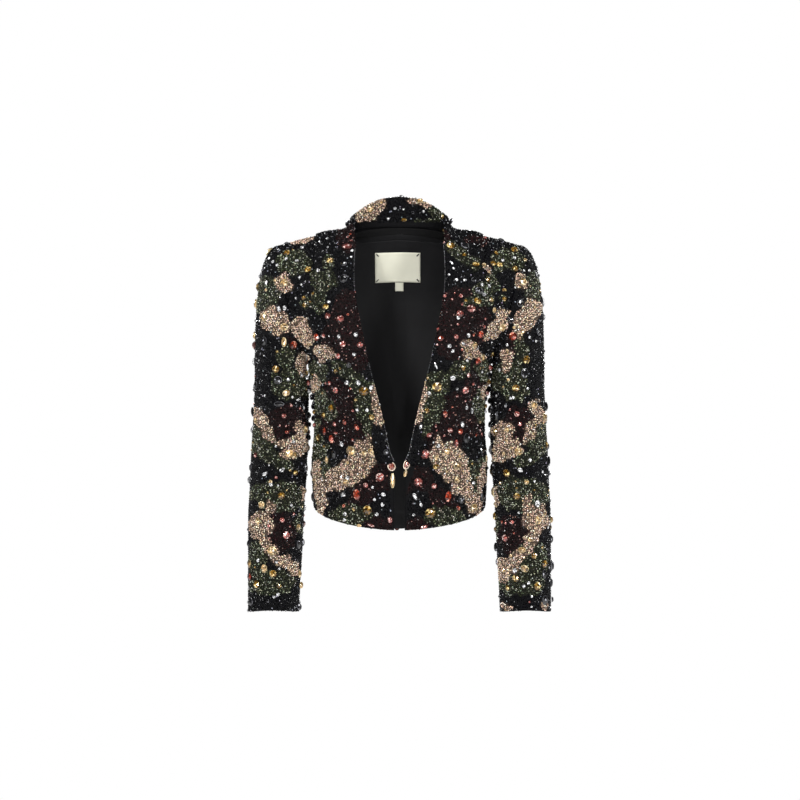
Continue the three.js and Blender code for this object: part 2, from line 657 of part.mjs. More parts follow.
// The two large stones at the front edges over the closing.
const CLOSURE_STONE = { halfWidth: 5.6, halfHeight: 7, high: 5.5, sides: 12 };
function closureStone() {
  const body = newBody();
  const v = CLOSING + 0.16;
  const base = frontSurface(0, v);
  const out = frontNormal(0.02, v);
  const side = new THREE.Vector3(1, 0, 0).addScaledVector(out, -out.x).normalize();
  const up = out.clone().cross(side).normalize();
  const centre = base.clone().addScaledVector(side, 3.4).addScaledVector(out, 0.6);
  const levels = [
    { grow: 0.92, rise: 0 },
    { grow: 1.0, rise: 1.6 },
    { grow: 0.62, rise: 4.6 },
  ];
  const rings = levels.map((level) => {
    const ring = [];
    for (let k = 0; k < CLOSURE_STONE.sides; k += 1) {
      const angle = (k * 2 * Math.PI) / CLOSURE_STONE.sides;
      ring.push(addPoint(body, centre.clone()
        .addScaledVector(side, CLOSURE_STONE.halfWidth * level.grow * Math.cos(angle))
        .addScaledVector(up, CLOSURE_STONE.halfHeight * level.grow * Math.sin(angle))
        .addScaledVector(out, level.rise)));
    }
    return ring;
  });
  const bottom = addPoint(body, centre);
  const crown = addPoint(body, centre.clone().addScaledVector(out, CLOSURE_STONE.high));
  for (let k = 0; k < CLOSURE_STONE.sides; k += 1) {
    const n = (k + 1) % CLOSURE_STONE.sides;
    body.faces.push(bottom, rings[0][n], rings[0][k]);
    for (let level = 0; level < 2; level += 1) {
      const [low, high] = [rings[level], rings[level + 1]];
      body.faces.push(low[k], low[n], high[n], low[k], high[n], high[k]);
    }
    body.faces.push(crown, rings[2][k], rings[2][n]);
  }
  return body;
}
addMesh(closureStone(), "left_closure_stone", rose);
addMesh(closureStone(), "right_closure_stone", rose, true);

export default group;
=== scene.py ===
import math

import bpy
import numpy as np
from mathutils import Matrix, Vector
from mathutils.kdtree import KDTree


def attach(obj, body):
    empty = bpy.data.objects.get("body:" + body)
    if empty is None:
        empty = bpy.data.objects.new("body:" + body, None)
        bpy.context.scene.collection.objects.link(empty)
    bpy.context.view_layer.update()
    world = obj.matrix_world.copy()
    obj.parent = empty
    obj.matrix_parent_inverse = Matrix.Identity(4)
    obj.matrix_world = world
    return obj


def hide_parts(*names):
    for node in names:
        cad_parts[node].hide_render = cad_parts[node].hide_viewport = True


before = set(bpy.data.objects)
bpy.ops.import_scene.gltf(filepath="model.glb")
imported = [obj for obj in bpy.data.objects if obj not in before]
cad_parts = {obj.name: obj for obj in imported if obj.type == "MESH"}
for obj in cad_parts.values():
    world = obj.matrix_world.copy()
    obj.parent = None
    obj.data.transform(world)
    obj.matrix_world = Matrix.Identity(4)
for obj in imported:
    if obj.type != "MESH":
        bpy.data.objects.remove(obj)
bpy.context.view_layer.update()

MM = 0.001
random = np.random.default_rng(41)

# Camera. The picture has 800 x 800 points of 1.6 mm at the garment's middle plane.
PICTURE = 800
SCALE = 1.6
MIDDLE_X = 399.5
NECK_Y = 229.0  # the picture row of the origin
DISTANCE = 4000.0
ELEVATION = math.radians(3)
SENSOR = 36.0

# Sizes of the cut, shared with the solids.
WALL = 2.4
SEAM = 0.5
UNDER = 1.9
LINING = 1.0
NECK_POINT = np.array([84.0, 3.0, -4.5])
SHOULDER_POINT = np.array([189.0, 0.0, -26.0])
SHOULDER_ARCH = 3.4
BACK_NECK = np.array([0.0, 67.0, 8.0])
NECK_SHARE = 0.5
BUST = {"x": 92, "z": -196, "out": 9, "half_width": 42, "half_height": 62}
CAP = {"top_pull": 132, "under_pull": 42, "top_drop": 300, "under_drop": 48, "spread": 0.28}
CUFF_ARCH = 6
BRIDGE = {"lift": 1.0, "reach": 26}
COLLAR = {"within": 2.0, "clear": 1.3, "fall_cells": 5, "stand_cells": 3, "high_stand": 40}
COLLAR_CLOUD = {"around": 0.05, "up": 0.2, "back_around": 0.04, "back_up": 0.1, "evened": 16}

# Front from hem to shoulder: x, y, z at the opening, then at the side, and the turn in degrees.
FRONT_ROWS = np.array([
    [8.2, -104, -472.5, 138, -4, -441, 90],
    [8.2, -103, -440, 140, -3, -407, 90],
    [8.2, -102, -408, 141, -2, -377, 90],
    [8.6, -103, -380, 139, 0, -349, 90],
    [20, -106, -352, 137, 1, -320, 90],
    [30, -114, -306, 137, 3, -286, 90],
    [41, -120, -262, 142, 4, -251, 90],
    [51, -121, -222, 147, 5, -215, 86],
    [58, -119, -190, 149, -22, -200, 74],
    [65, -113, -158, 157, -45, -174, 62],
    [72, -102, -126, 170, -58, -141, 48],
    [77, -86, -96, 180, -52, -100, 38],
    [79, -62, -64, 186, -32, -62, 30],
    [79, -33, -29, 188, -16, -35, 22],
])
# Back from hem to neck: y, z in the middle, then x, y, z at the side, and the turn.
BACK_ROWS = np.array([
    [94, -490, 138, -4, -441, 90],
    [91, -441, 140, -3, -407, 90],
    [86, -404, 141, -2, -377, 90],
    [79, -368, 139, 0, -349, 90],
    [75, -332, 137, 1, -320, 90],
    [77, -294, 137, 3, -286, 90],
    [84, -256, 142, 4, -251, 90],
    [92, -218, 147, 5, -215, 88],
    [98, -187, 150, 30, -200, 74],
    [101, -154, 158, 50, -172, 60],
    [101, -118, 169, 60, -136, 46],
    [96, -80, 178, 54, -98, 36],
    [87, -44, 185, 36, -64, 27],
    [76, -14, 188, 17, -36, 20],
])
# Sleeve rings: z, middle x and y, half width, half depth.
SLEEVE_RINGS = np.array([
    [-259, 188.5, 1, 43.5, 61],
    [-310, 189.5, -1, 45, 58],
    [-360, 191.5, -4, 46, 55],
    [-410, 194.5, -9, 45, 53],
    [-462, 197.5, -14, 44.5, 50],
    [-514, 198.5, -19, 43.5, 47],
    [-564, 200, -23, 42, 45],
    [-609.5, 201, -26, 41, 44],
])
# Collar from the closing point (0) to the middle of the back neck (1): share of the way,
# height of the stand, width of the fall, reach on the inside.
COLLAR_ROWS = np.array([
    [0.0, 0.6, 11, 5],
    [0.08, 1.0, 19, 5],
    [0.2, 1.4, 31, 5],
    [0.35, 1.5, 44, 5],
    [0.5, 1.6, 53, 5],
    [0.65, 3, 58, 4],
    [0.74, 6, 59, 2],
    [0.8, 11, 58, 0.5],
    [0.87, 23.5, 56, 1],
    [0.93, 36.5, 55, 3],
    [1.0, 40, 54, 5],
])
UNDERARM = 7  # the row of the front and the back at the foot of the armhole
CLOSING = 3  # the row of the front where the lapel starts
SUNK = 0.9  # the cloth lies this much under the solids' outer face, and the beads fill it

# Soft creases of the left sleeve: height, share of the way round, depth, height and width.
CREASES = [
    (-352, 0.42, 1.8, 9, 0.10), (-371, 0.47, 2.2, 8, 0.12), (-389, 0.4, 1.6, 9, 0.09),
    (-300, 0.45, 1.2, 14, 0.12), (-440, 0.35, 1.1, 13, 0.1), (-505, 0.3, 1.0, 16, 0.1),
    (-230, 0.3, 1.3, 14, 0.08), (-560, 0.65, 1.0, 12, 0.1), (-335, 0.72, 1.4, 11, 0.1),
    (-395, 0.68, 1.6, 10, 0.1),
]
CREASE_SLANT = 60

# Where each front has its plain edge: the strip's width beside the opening, in mm, by height.
STRIP_Z = [-456, -441, -417, -409, -398, -386, -373, -366]
STRIP = {
    "left_front": [4, 4, 4, 4.5, 8, 12.8, 14.4, 0],
    "right_front": [4, 5.5, 7, 7.8, 8.3, 8.5, 8.5, 0],
}
# How much of each front lies under the lapel, by height.
LAPEL_Z = [-366, -300, -210, -60, 0]
LAPEL_WIDTH = [6, 20, 40, 50, 50]
LAPEL_LOW = -362
# The collar's bare inside: below the band of beads on its stand, and the underside in front.
BARE_COLLAR = {"band_low": 11, "behind": 20, "inward": -0.3, "in_front": 10, "backward": 0.35}
UNDER_COLLAR = {"low": -12, "half_width": 110}

# Camouflage, seen from the front: middle x and y in the picture, half sizes, and the turn in
# degrees if it is turned. Later patches lie over earlier ones. What no patch covers is black.
BURGUNDY, GREEN, TAN, BLACK = 1, 2, 3, 0
PATCHES = [
    (BURGUNDY, [
        (347, 238, 10, 16), (352, 330, 21, 42, -10), (331, 338, 10, 15), (344, 415, 25, 32, -15),
        (334, 398, 13, 20), (379, 489, 20, 26, -10), (360, 499, 15, 14), (380, 523, 15, 8),
        (288, 425, 20, 22), (282, 531, 16, 20), (289, 344, 8, 7), (446, 238, 5, 8),
        (476, 240, 12, 5, 10), (459, 324, 29, 38, 10), (480, 316, 10, 24), (458, 420, 28, 28, 12),
        (475, 385, 9, 22), (438, 437, 13, 14), (418, 490, 17, 24, 8), (440, 503, 20, 14),
        (414, 525, 15, 7), (518, 425, 15, 20), (513, 535, 17, 20), (513, 340, 6, 12),
    ]),
    (GREEN, [
        (293, 262, 18, 13, -5), (329, 262, 6, 7), (324, 280, 14, 11), (318, 301, 9, 12),
        (305, 302, 6, 7), (268, 292, 13, 18, 5), (257, 300, 7, 14), (291, 384, 21, 16),
        (286, 357, 9, 13, 10), (318, 373, 10, 12), (321, 402, 8, 14), (328, 411, 10, 10),
        (345, 371, 15, 7, 30), (362, 388, 14, 10, 40), (366, 408, 11, 19, -8), (368, 429, 5, 9),
        (316, 440, 6, 22), (322, 456, 9, 12), (327, 472, 8, 9), (262, 440, 14, 15, 20),
        (275, 459, 20, 8, 22), (278, 494, 29, 13), (284, 505, 22, 7), (270, 583, 26, 13),
        (257, 560, 9, 20), (298, 523, 4, 10), (350, 516, 22, 12, -4), (437, 213, 9, 6, 25),
        (424, 222, 15, 2.5), (451, 246, 7, 6), (464, 256, 16, 6, 36), (475, 264, 8, 6, 20),
        (509, 260, 18, 13), (494, 282, 9, 12), (484, 294, 11, 12), (476, 301, 11, 5), (503, 299, 6, 6),
        (533, 286, 9, 15, -5), (458, 370, 17, 8, -30), (437, 384, 15, 12, -25), (433, 404, 12, 20, 14),
        (427, 426, 6, 10, 10), (483, 371, 7, 12), (480, 405, 7, 19), (508, 378, 20, 17),
        (521, 350, 7, 15), (516, 393, 14, 8), (476, 466, 11, 11), (473, 483, 5, 12),
        (538, 438, 12, 18), (527, 459, 16, 7, -22), (520, 494, 29, 17), (532, 560, 17, 22),
        (520, 584, 26, 12), (497, 527, 3, 12), (446, 518, 22, 11, 4), (432, 513, 9, 8),
    ]),
    (BLACK, [
        (299, 291, 7, 15, 10), (335, 458, 7, 12, 10), (341, 497, 11, 7), (384, 504, 12, 13),
        (313, 496, 4, 16), (382, 440, 8, 14, -10), (506, 280, 9, 11), (499, 308, 12, 5),
        (472, 448, 10, 13), (417, 438, 6, 14, 10), (418, 503, 14, 14, 12), (484, 495, 4, 14),
        (461, 498, 5, 6),
    ]),
    (TAN, [
        (370, 211, 18, 9, -35), (302, 239.5, 14, 4, -12), (284, 284, 9, 9), (275, 321, 17, 12, 35),
        (301, 329, 10, 14, -25), (308, 341, 5, 6), (324, 353, 11, 8, 22), (302, 364, 6, 12, 10),
        (313, 384, 3, 9), (318, 387, 4, 6), (377, 405, 5, 18, -14), (379, 420, 7, 6),
        (260, 419, 8, 11, -25), (269, 435, 5, 9, -25), (281, 443, 7, 4), (300, 430, 6, 9),
        (298, 446, 11, 12, 10), (289, 453, 9, 6), (361, 461, 13, 22, 15), (345, 475, 22, 13, -28),
        (325, 486, 14, 8, -8), (367, 444, 4, 9), (317, 477, 6, 16), (320, 503, 7, 14),
        (261, 525, 13, 14), (270, 508, 4, 9), (265, 543, 6, 6), (271, 551, 6, 9, -35),
        (284, 562, 16, 7, 22), (294, 568, 6, 9), (303, 493, 3, 9), (421, 202, 13, 4, 12),
        (488, 270, 3, 5, -30), (521, 281, 6, 8), (528, 316, 11, 19, 35), (517, 330, 5, 11),
        (498, 324, 8, 16, 30), (489, 337, 7, 5), (470, 350, 9, 10, 10), (481, 357, 5, 6, 30),
        (507, 360, 6, 13, 10), (485, 390, 3, 9, 25), (421, 400, 5, 18, 14), (417, 417, 5, 7),
        (536, 406, 7, 8), (541, 417, 6, 7), (530, 431, 5, 14, 18), (503, 431, 11, 9),
        (507, 447, 15, 11, 10), (497, 458, 8, 5), (440, 455, 10, 14), (452, 462, 16, 20, -15),
        (463, 481, 14, 16, -20), (475, 496, 12, 12, -15), (482, 477, 4, 15, 10), (476, 506, 9, 10),
        (438, 443, 4, 8), (536, 519, 14, 16), (526, 504, 5, 9, 10), (532, 537, 7, 8),
        (528, 547, 6, 9, 20), (519, 556, 13, 6, -30), (506, 567, 14, 9, -8), (503, 576, 8, 6),
        (496, 497, 3, 10), (506, 607, 6, 4), (546, 606, 3, 4),
    ]),
    (GREEN, [(473.5, 481, 3.4, 13, -5)]),
    (BLACK, [(312.5, 495, 3, 17, -8), (485.5, 495, 3.4, 16, 12)]),
]
# The same where the picture doesn't show the cloth, from soft noise: colour, size of its
# patches in mm, seed, and the level above which it shows. Later colours lie over earlier ones.
PATCHES_AROUND = [(BURGUNDY, 118, 23, 0.25), (GREEN, 135, 22, 0.3), (TAN, 122, 21, 0.62)]
# Waves that make the borders of the patches in front uneven: how far, their size, their seed.
WAVES = [(1.5, 19, 3), (0.4, 8, 5)]
# How far the camouflage of the front runs on where the cloth turns away from the picture.
TURNED_AWAY = {"toward": -0.12, "uneven": 0.06, "size": 40, "seed": 31}

# Named stones, seen from the front: x and y in the picture, width and height in mm, and the
# turn in degrees if it is turned.
STONES = {
    "rose": [
        (347, 247, 17, 12), (328, 316, 10, 10), (340.5, 319, 13, 12), (343, 344, 10, 10),
        (360, 345, 10, 9), (338, 356, 9, 9), (336, 390, 10, 11, 30), (330, 383, 7, 7),
        (284, 416, 8, 8), (335, 424, 8, 8), (336, 433, 8, 6), (366, 485, 9, 9), (390, 520, 8, 10),
        (286, 535, 13, 13), (282, 520, 8, 8), (380, 477, 14, 14), (256, 455, 9, 9), (324, 336, 7, 7),
        (371, 525, 13, 5, 20), (269, 526, 6, 6), (471, 309, 14, 13), (460, 314, 12, 12, -30),
        (445, 296, 6, 6), (461, 296, 7, 7), (456, 337, 8, 8), (465, 390, 15, 13), (468, 375, 7, 9),
        (473, 384, 7, 6), (450, 430, 11, 8, 30), (429, 435, 8, 8), (456, 443, 8, 12),
        (425, 454, 15, 15), (418, 482, 14, 14), (434, 486, 9, 9), (505.6, 538, 12, 12),
        (512, 522, 8, 6), (424, 527, 12, 6, -10), (517, 414, 9, 9), (520, 424, 7, 7), (485, 238, 8, 6),
        (490.8, 368, 8, 9), (487.8, 394, 7, 8), (308, 383, 8, 9), (313.6, 425, 6, 7),
    ],
    "red": [
        (317, 337, 12, 12), (293, 345, 14, 14), (345, 422, 8, 9), (357, 427, 8, 12, -20),
        (325, 431, 8, 14), (332, 439, 11, 14), (357, 494.5, 12, 18, -10), (344, 506, 6, 6),
        (287, 432, 8, 6), (480, 334.5, 14, 13), (513, 336, 13, 14), (441, 338.5, 10, 8, -20),
        (477, 361, 12, 14, 30), (445, 414, 8, 12, -20), (460, 431.5, 10, 10), (448, 496.5, 12, 18, 15),
        (458, 508, 8, 7, 30), (250.7, 577, 8, 12),
    ],
    "amber": [
        (287, 253, 11, 10), (308, 270, 13, 13), (330, 261, 12, 11), (304, 298, 8, 7), (305, 305, 8, 8),
        (326, 307, 12, 10), (276, 369, 12, 12), (336, 371, 8, 7), (364, 391, 16, 14),
        (332, 408, 13, 13), (324, 415, 11, 9), (371.6, 417, 9, 9), (295, 473, 10, 9),
        (319, 438, 11, 13), (367.5, 510, 15, 16), (354, 509, 7, 7), (281, 495.5, 12, 12),
        (273, 573.6, 12, 12), (257, 584, 12, 14), (279, 586, 8, 7), (450.5, 246, 14, 13),
        (464, 255, 8, 7), (476, 264.5, 13, 9), (488, 280, 8, 8), (477.6, 301, 13, 10, 30),
        (491, 300, 8, 7), (504, 299, 8, 8), (504, 290, 9, 5), (514, 250, 13, 11), (493, 263.5, 10, 9),
        (499.5, 265, 11, 10), (515, 269, 11, 11), (496, 253, 6, 10, -20), (463, 368, 9, 9),
        (437, 386.6, 17, 16), (427, 410.6, 9, 9), (526, 359.6, 13, 14), (516, 388, 13, 11),
        (436, 466.7, 11, 9), (507, 473, 14, 12, 45), (430, 513, 18, 16), (517, 496, 12, 11),
        (544, 564, 12, 13), (516, 578, 13, 12), (537, 586, 14, 14), (534, 556, 10, 10),
        (496.4, 432, 11, 12), (404, 220, 9, 6), (546, 445, 9, 12), (508, 588, 9, 9), (443, 217, 8, 7),
        (491.8, 354, 8, 9), (489.6, 382, 8, 9), (307, 373, 7, 8), (313.6, 412, 6, 7),
        (486.4, 406, 6, 7),
    ],
    "gold": [
        (284, 283, 14, 13), (284, 327, 12, 13), (264.5, 317, 11, 15), (286, 393, 13, 10, -15),
        (289, 453.5, 15, 13), (294, 455, 10, 10), (305, 429.5, 11, 12), (256, 421, 9, 10),
        (351, 450.4, 15, 15), (364, 453, 9, 8), (371, 451.4, 8, 12, -30), (327, 460, 7, 12),
        (272, 550.6, 15, 15), (264.5, 568.5, 11, 14), (262, 505, 12, 12), (258, 521, 10, 12),
        (299, 574, 9, 13), (250, 564, 8, 14), (284, 342, 8, 16), (370, 209, 12, 12),
        (346, 482, 10, 10), (359, 525.6, 9, 5), (298, 527, 9, 10), (302, 585, 8, 11),
        (502, 327, 14, 14), (523, 282, 12, 13), (494, 310, 7, 9), (420, 201, 11, 9),
        (474.5, 345, 10, 9), (483, 357.6, 9, 13, -35), (447, 451.4, 11, 11), (436, 458, 7, 11, 25),
        (457, 466, 15, 13), (486, 458.6, 6, 12), (473.5, 508, 14, 14), (457, 480, 10, 10),
        (534, 405.5, 12, 12), (544, 416.7, 12, 13), (507, 430, 9, 8), (518.4, 451.4, 13, 13),
        (538, 520, 12, 14), (522, 550, 13, 10), (524.5, 568.5, 14, 11, 20), (530, 539.4, 8, 8),
        (504, 570, 8, 8), (551, 519.5, 8, 12), (484, 265, 7, 7), (526.5, 482, 8, 8),
        (270.6, 482, 7, 7), (525, 260, 6, 6), (392.6, 480.5, 7.5, 25), (405.4, 473.5, 5.5, 11, 15),
    ],
    "jet": [
        (343.6, 279, 12, 16, 10), (343.6, 264, 10, 10), (264.5, 341, 11, 15), (349, 365, 8, 8),
        (278, 380, 13, 13), (256, 385.6, 9, 14, 10), (307, 415.7, 19, 12, -10), (279, 404, 17, 8),
        (251.7, 411.6, 6, 16), (334, 454.5, 9, 14, 10), (251, 467, 7, 15), (305, 468, 9, 15, -15),
        (313.5, 497.5, 8, 16, -10), (251.7, 602, 12, 12), (249, 543.5, 7, 12),
        (298, 544.5, 9, 15, -10), (386, 452, 8, 9), (299.7, 607, 8, 11), (465, 246, 12, 17, -30),
        (474, 280, 9, 9), (479, 291, 13, 12), (520, 303, 11, 13), (511, 320.6, 8, 9),
        (538, 332, 11, 13), (524.5, 373, 12, 16), (542, 378, 9, 13), (490, 408.6, 9, 14, 20),
        (497, 416.7, 9, 17, 15), (546.4, 406, 8, 15), (466, 438, 12, 16), (481.6, 451, 8, 14, -20),
        (493, 468, 9, 15, -10), (549.5, 460.6, 6, 16), (461, 499.6, 11, 13),
        (481.6, 497.5, 9, 15, -15), (544, 574, 9, 15), (544.4, 600, 12, 16), (551, 539.4, 8, 13),
        (551, 583, 7, 14), (495, 547.5, 7, 15), (552, 600, 7, 9), (456, 219.5, 6, 12, 35),
        (346.5, 223, 8, 11), (538, 404, 10, 7), (309, 388, 8, 9), (311, 397, 8, 10, 10),
        (311.6, 407, 7, 9, -20), (313.4, 403, 6, 8, 10), (312.6, 418, 7, 10, 15), (310.6, 424, 6, 8),
        (491.4, 361, 9, 11, 10), (490.2, 375, 9, 11, -10), (489, 389, 9, 11), (488.8, 400, 7, 10, 15),
        (486, 399, 6, 8), (489, 424, 6, 10), (310, 437, 6, 9),
    ],
    "clear": [
        (302, 248, 7, 7), (286.5, 259, 6, 6), (297, 261, 6, 6), (273, 262, 6, 6), (300, 277.5, 5, 7),
        (352, 251, 6, 6), (355.8, 334.6, 7, 7), (339, 336.6, 6, 6), (329, 302, 6, 6),
        (318, 270.6, 7, 7), (354, 354.5, 6, 6), (347, 382.6, 8, 7, 20), (358.4, 382.6, 7, 9, -30),
        (371, 387.7, 7, 7), (288, 379.5, 6, 6), (301, 375, 6, 7), (298, 400, 10, 5),
        (357.5, 410, 6, 6), (367, 410, 6, 6), (342, 444, 8, 9), (343.6, 494.5, 9, 7),
        (383.4, 494.5, 8, 6, 20), (382.5, 504.7, 6, 7), (376.7, 514.4, 6, 6), (372.6, 487.3, 5, 5),
        (345, 514, 7, 7), (344.6, 520, 6, 6), (266.5, 283, 5, 9, 20), (279, 309, 6, 11, -25),
        (284.5, 308, 6, 8), (320, 352, 5, 5), (291, 505, 6, 6), (278, 594.5, 6, 6), (347.6, 478, 8, 7),
        (265, 474, 11, 6, -20), (282, 470, 10, 6, -30), (271, 484, 7, 8), (258.4, 560.5, 6, 6),
        (274, 597, 5, 5), (451.5, 263, 4, 9, -35), (453.6, 268.6, 5, 5), (449, 275, 5, 5),
        (456.6, 280, 6, 6), (464.8, 280.5, 6, 6), (482, 285, 6, 6), (489, 286, 6, 6),
        (484, 294.5, 8, 7), (458, 318, 6, 6), (468.4, 335.4, 7, 7), (449.5, 346, 7, 7),
        (452.5, 351, 6, 6), (463, 343.6, 6, 6), (514.4, 258, 6, 6), (502.6, 260.4, 6, 6),
        (535.7, 274, 5, 13, -10), (436, 365.7, 4, 12, -20), (452.6, 378, 9, 8),
        (466.8, 360.6, 8, 5, 30), (429, 393, 6, 6), (477, 397.3, 8, 6, 40), (466.3, 407.6, 7, 7),
        (471.4, 410.6, 7, 12, -30), (462, 424.4, 7, 11, -25), (421, 426.4, 5, 9, 20),
        (438, 445.8, 7, 7), (415, 496.5, 6, 13, -25), (421, 504.7, 5, 7, -20), (473, 483, 7, 7),
        (515, 570.5, 8, 8), (524, 586, 6, 6), (528.5, 583, 6, 6), (500, 597, 6, 6),
        (520.4, 470, 9, 7, 30), (537, 503.7, 11, 12), (450, 243, 5, 5), (423.6, 211.4, 5, 5),
        (395, 208.5, 5, 5), (388, 219, 5, 5), (512, 398, 10, 6, -20), (500, 370, 6, 6),
        (481.5, 372, 6, 6), (530, 460, 6, 6), (307.6, 378, 7, 7), (309.6, 392, 7, 7),
        (486.2, 412, 5, 6),
    ],
}

# The two large stones at the front edges, over the closing, in the same terms.
CLOSURE = {
    "left_closure_stone": (406.6, 464.4, 10, 16.5, 17),
    "right_closure_stone": (391.4, 466.2, 12.5, 15, -22),
}
# Where the cloth turns away from the picture, a stone moves this far out and leans to the front.
EDGE_STONE = {"out": 1.8, "lean": 1.2, "toward": 0.25}
SEAT = {"facing": 0.02, "near": 2.4, "weight": 2}  # how a stone's place is looked for

# Stones scattered between them: how many tries on a tenth of a square metre, smallest and
# largest size, and the space round each. Their kinds follow the colour of the cloth.
LARGE_STONES = {"tries": 150, "sizes": (8, 14), "gap": 6}
SMALL_STONES = {"tries": 170, "sizes": (3, 5.5), "gap": 3.4}
LARGEST = 12  # no stone reaches further than this from its middle
ROUND_BELOW = 6  # smaller stones than this are round
# Large ones are scattered only where the picture has none: on cloth that faces away from it,
# and on the collar only behind the neck and under its crest.
HIDDEN = {"toward": 0.1, "behind": 30, "upward": 0.5}
BY_ZONE = {
    BLACK: (["jet", "clear", "clear", "rose"], [0.4, 0.3, 0.25, 0.05]),
    BURGUNDY: (["rose", "red", "rose", "clear"], [0.4, 0.3, 0.2, 0.1]),
    GREEN: (["amber", "gold", "clear", "clear"], [0.4, 0.2, 0.25, 0.15]),
    TAN: (["gold", "gold", "clear", "rose"], [0.5, 0.3, 0.15, 0.05]),
}
# Heights of a stone's levels and of its setting, for a stone one unit in radius.
STONE = {"culet": 0, "girdle": 0.22, "table": 0.56, "top": 0.6, "foot": -0.1, "lip": 0.2}
STONE_DEPTH = 0.62  # a unit of height, as a share of the stone's smaller width
STONE_RAISED = 0.6
GIRDLE_AND_TABLE = {"jet": (0.9, 0.62), "closure": (0.8, 0.5)}
USUAL_GIRDLE_AND_TABLE = (0.93, 0.5)

# Seed beads, and the rows of them along the lapel's roll and over the armhole seams. The roll's tone is a
# painted highlight along its edge where it is black.
BEADS = {"spacing": 2.9, "tries": 4, "look": 8, "clear": 0.8, "smallest": 1.05, "largest": 1.5, "peak": 0.95}
CELL_KEY = np.array([73856093, 19349663, 83492791])  # primes that number the cells of space
ROLL = {"column": 6, "low": -366, "high": -24, "spacing": 1.9, "tone": (0.16, 0.16, 0.17)}
SEAM_BEADS = 1.5

# Lining, neck strip and labels. The heights along the back are in its rows, the rest in mm.
LINING_ROWS = (0.5, 13.5)
LINING_HALF = 0.9  # the lining's reach to each side, as a share of the back
LINING_DEPTH = WALL + UNDER
YOKE = {"row": 12.93, "near": 0.12, "ridge": 0.8, "width": 0.035}
TUCK = {"row": 13.25, "over": 0.2, "depth": 1.5}
PLEAT = {"depth": 0.9, "at": 3, "width": 3.5}
NECK_STRIP = {"low": 13.32, "high": 13.8, "half": 0.4}
LABEL_THICK = 0.5
LABEL_DEPTH = LINING_DEPTH + LINING + 0.9
LABEL = {"x": -3, "width": 75, "top": -34.5, "bottom": -84.5}
LABEL_BOW = 2.2
TAB = {"x": -0.3, "width": 13.5, "top": -85.1, "bottom": -99.9}
TAB_BOW = 0.1
TACK = {"in": 3.9, "long": 5.4, "wide": 1.9, "thick": 0.7, "sunk": 0.2}

# Colours, linear.
GROUND = {BLACK: (0.0015, 0.0015, 0.002), BURGUNDY: (0.004, 0.002, 0.002),
          GREEN: (0.006, 0.007, 0.004), TAN: (0.05, 0.035, 0.026)}
BEAD = {BLACK: (0.0018, 0.0018, 0.0028), BURGUNDY: (0.013, 0.004, 0.0045),
        GREEN: (0.045, 0.049, 0.027), TAN: (0.55, 0.387, 0.283)}
GLINT = {BLACK: (0.3, 0.31, 0.36), BURGUNDY: (0.3, 0.17, 0.15),
         GREEN: (0.38, 0.4, 0.3), TAN: (0.9, 0.76, 0.62)}
GLINT_SHARE = {BLACK: 0.022, BURGUNDY: 0.04, GREEN: 0.2, TAN: 0.14}
DARK_SHARE = {BLACK: 0.3, BURGUNDY: 0.3, GREEN: 0.42, TAN: 0.18}
GEM = {"rose": (0.34, 0.085, 0.07), "red": (0.3, 0.036, 0.014), "amber": (0.2, 0.1, 0.01),
       "gold": (0.46, 0.29, 0.12), "clear": (0.22, 0.22, 0.23), "jet": (0.004, 0.004, 0.005),
       "closure": (0.34, 0.08, 0.05)}
# Painted highlights on the stones: the share of facets that get one, and its colour by kind.
PAINTED_SPARK_SHARE = {"jet": 0.05, "clear": 0.42}
USUAL_PAINTED_SPARK_SHARE = 0.14
PAINTED_SPARK = {"rose": (0.95, 0.68, 0.62), "red": (0.95, 0.42, 0.3), "amber": (0.9, 0.7, 0.3),
         "gold": (0.92, 0.74, 0.48), "clear": (1, 1, 1), "jet": (0.5, 0.5, 0.55),
         "closure": (0.95, 0.6, 0.5)}
RIM = {"rose": (0.08, 0.03, 0.027), "red": (0.06, 0.014, 0.012), "amber": (0.06, 0.042, 0.016),
       "gold": (0.5, 0.42, 0.24), "clear": (0.08, 0.08, 0.085), "jet": (0.1, 0.1, 0.11),
       "closure": (0.6, 0.5, 0.4)}


# Lines and directions

def unit(vectors):
    """The same directions, each one unit long."""
    return vectors / np.linalg.norm(vectors, axis=-1, keepdims=True)


def length_along(line):
    """How far along the line each of its points lies."""
    steps = np.linalg.norm(np.diff(line, axis=0), axis=1)
    return np.concatenate([[0], np.cumsum(steps)])


def values_at(at, along, values):
    """Points or directions given along a line, at other distances along it."""
    return np.stack([np.interp(at, along, values[:, axis]) for axis in range(3)], axis=1)


def hermite(start, leaving, end, arriving, t):
    """The smooth way from start to end with these slopes, at t from 0 to 1."""
    t2, t3 = t * t, t * t * t
    return (start * (2 * t3 - 3 * t2 + 1) + leaving * (t3 - 2 * t2 + t)
            + end * (3 * t2 - 2 * t3) + arriving * (t3 - t2))


# Curves and surfaces of the panels

def row_curve(start, end, turn, u):
    """A row of a panel, from its middle or its opening to its side, turning by so many degrees."""
    angle = math.radians(turn)
    side = np.sin(u * angle) / math.sin(angle)
    round_part = (np.cos(u * angle) - math.cos(angle)) / (1 - math.cos(angle))
    return np.stack([
        start[0] + (end[0] - start[0]) * side,
        end[1] + (start[1] - end[1]) * round_part,
        start[2] + (end[2] - start[2]) * u ** 1.5,
    ], axis=-1)


def limited(p, q):
    """A slope between the steps p and q that makes the curve overshoot neither."""
    same = p * q > 0
    total = np.where(np.abs(p + q) < 1e-12, 1.0, p + q)
    return np.where(same, 2 * p * q / total, 0.0)


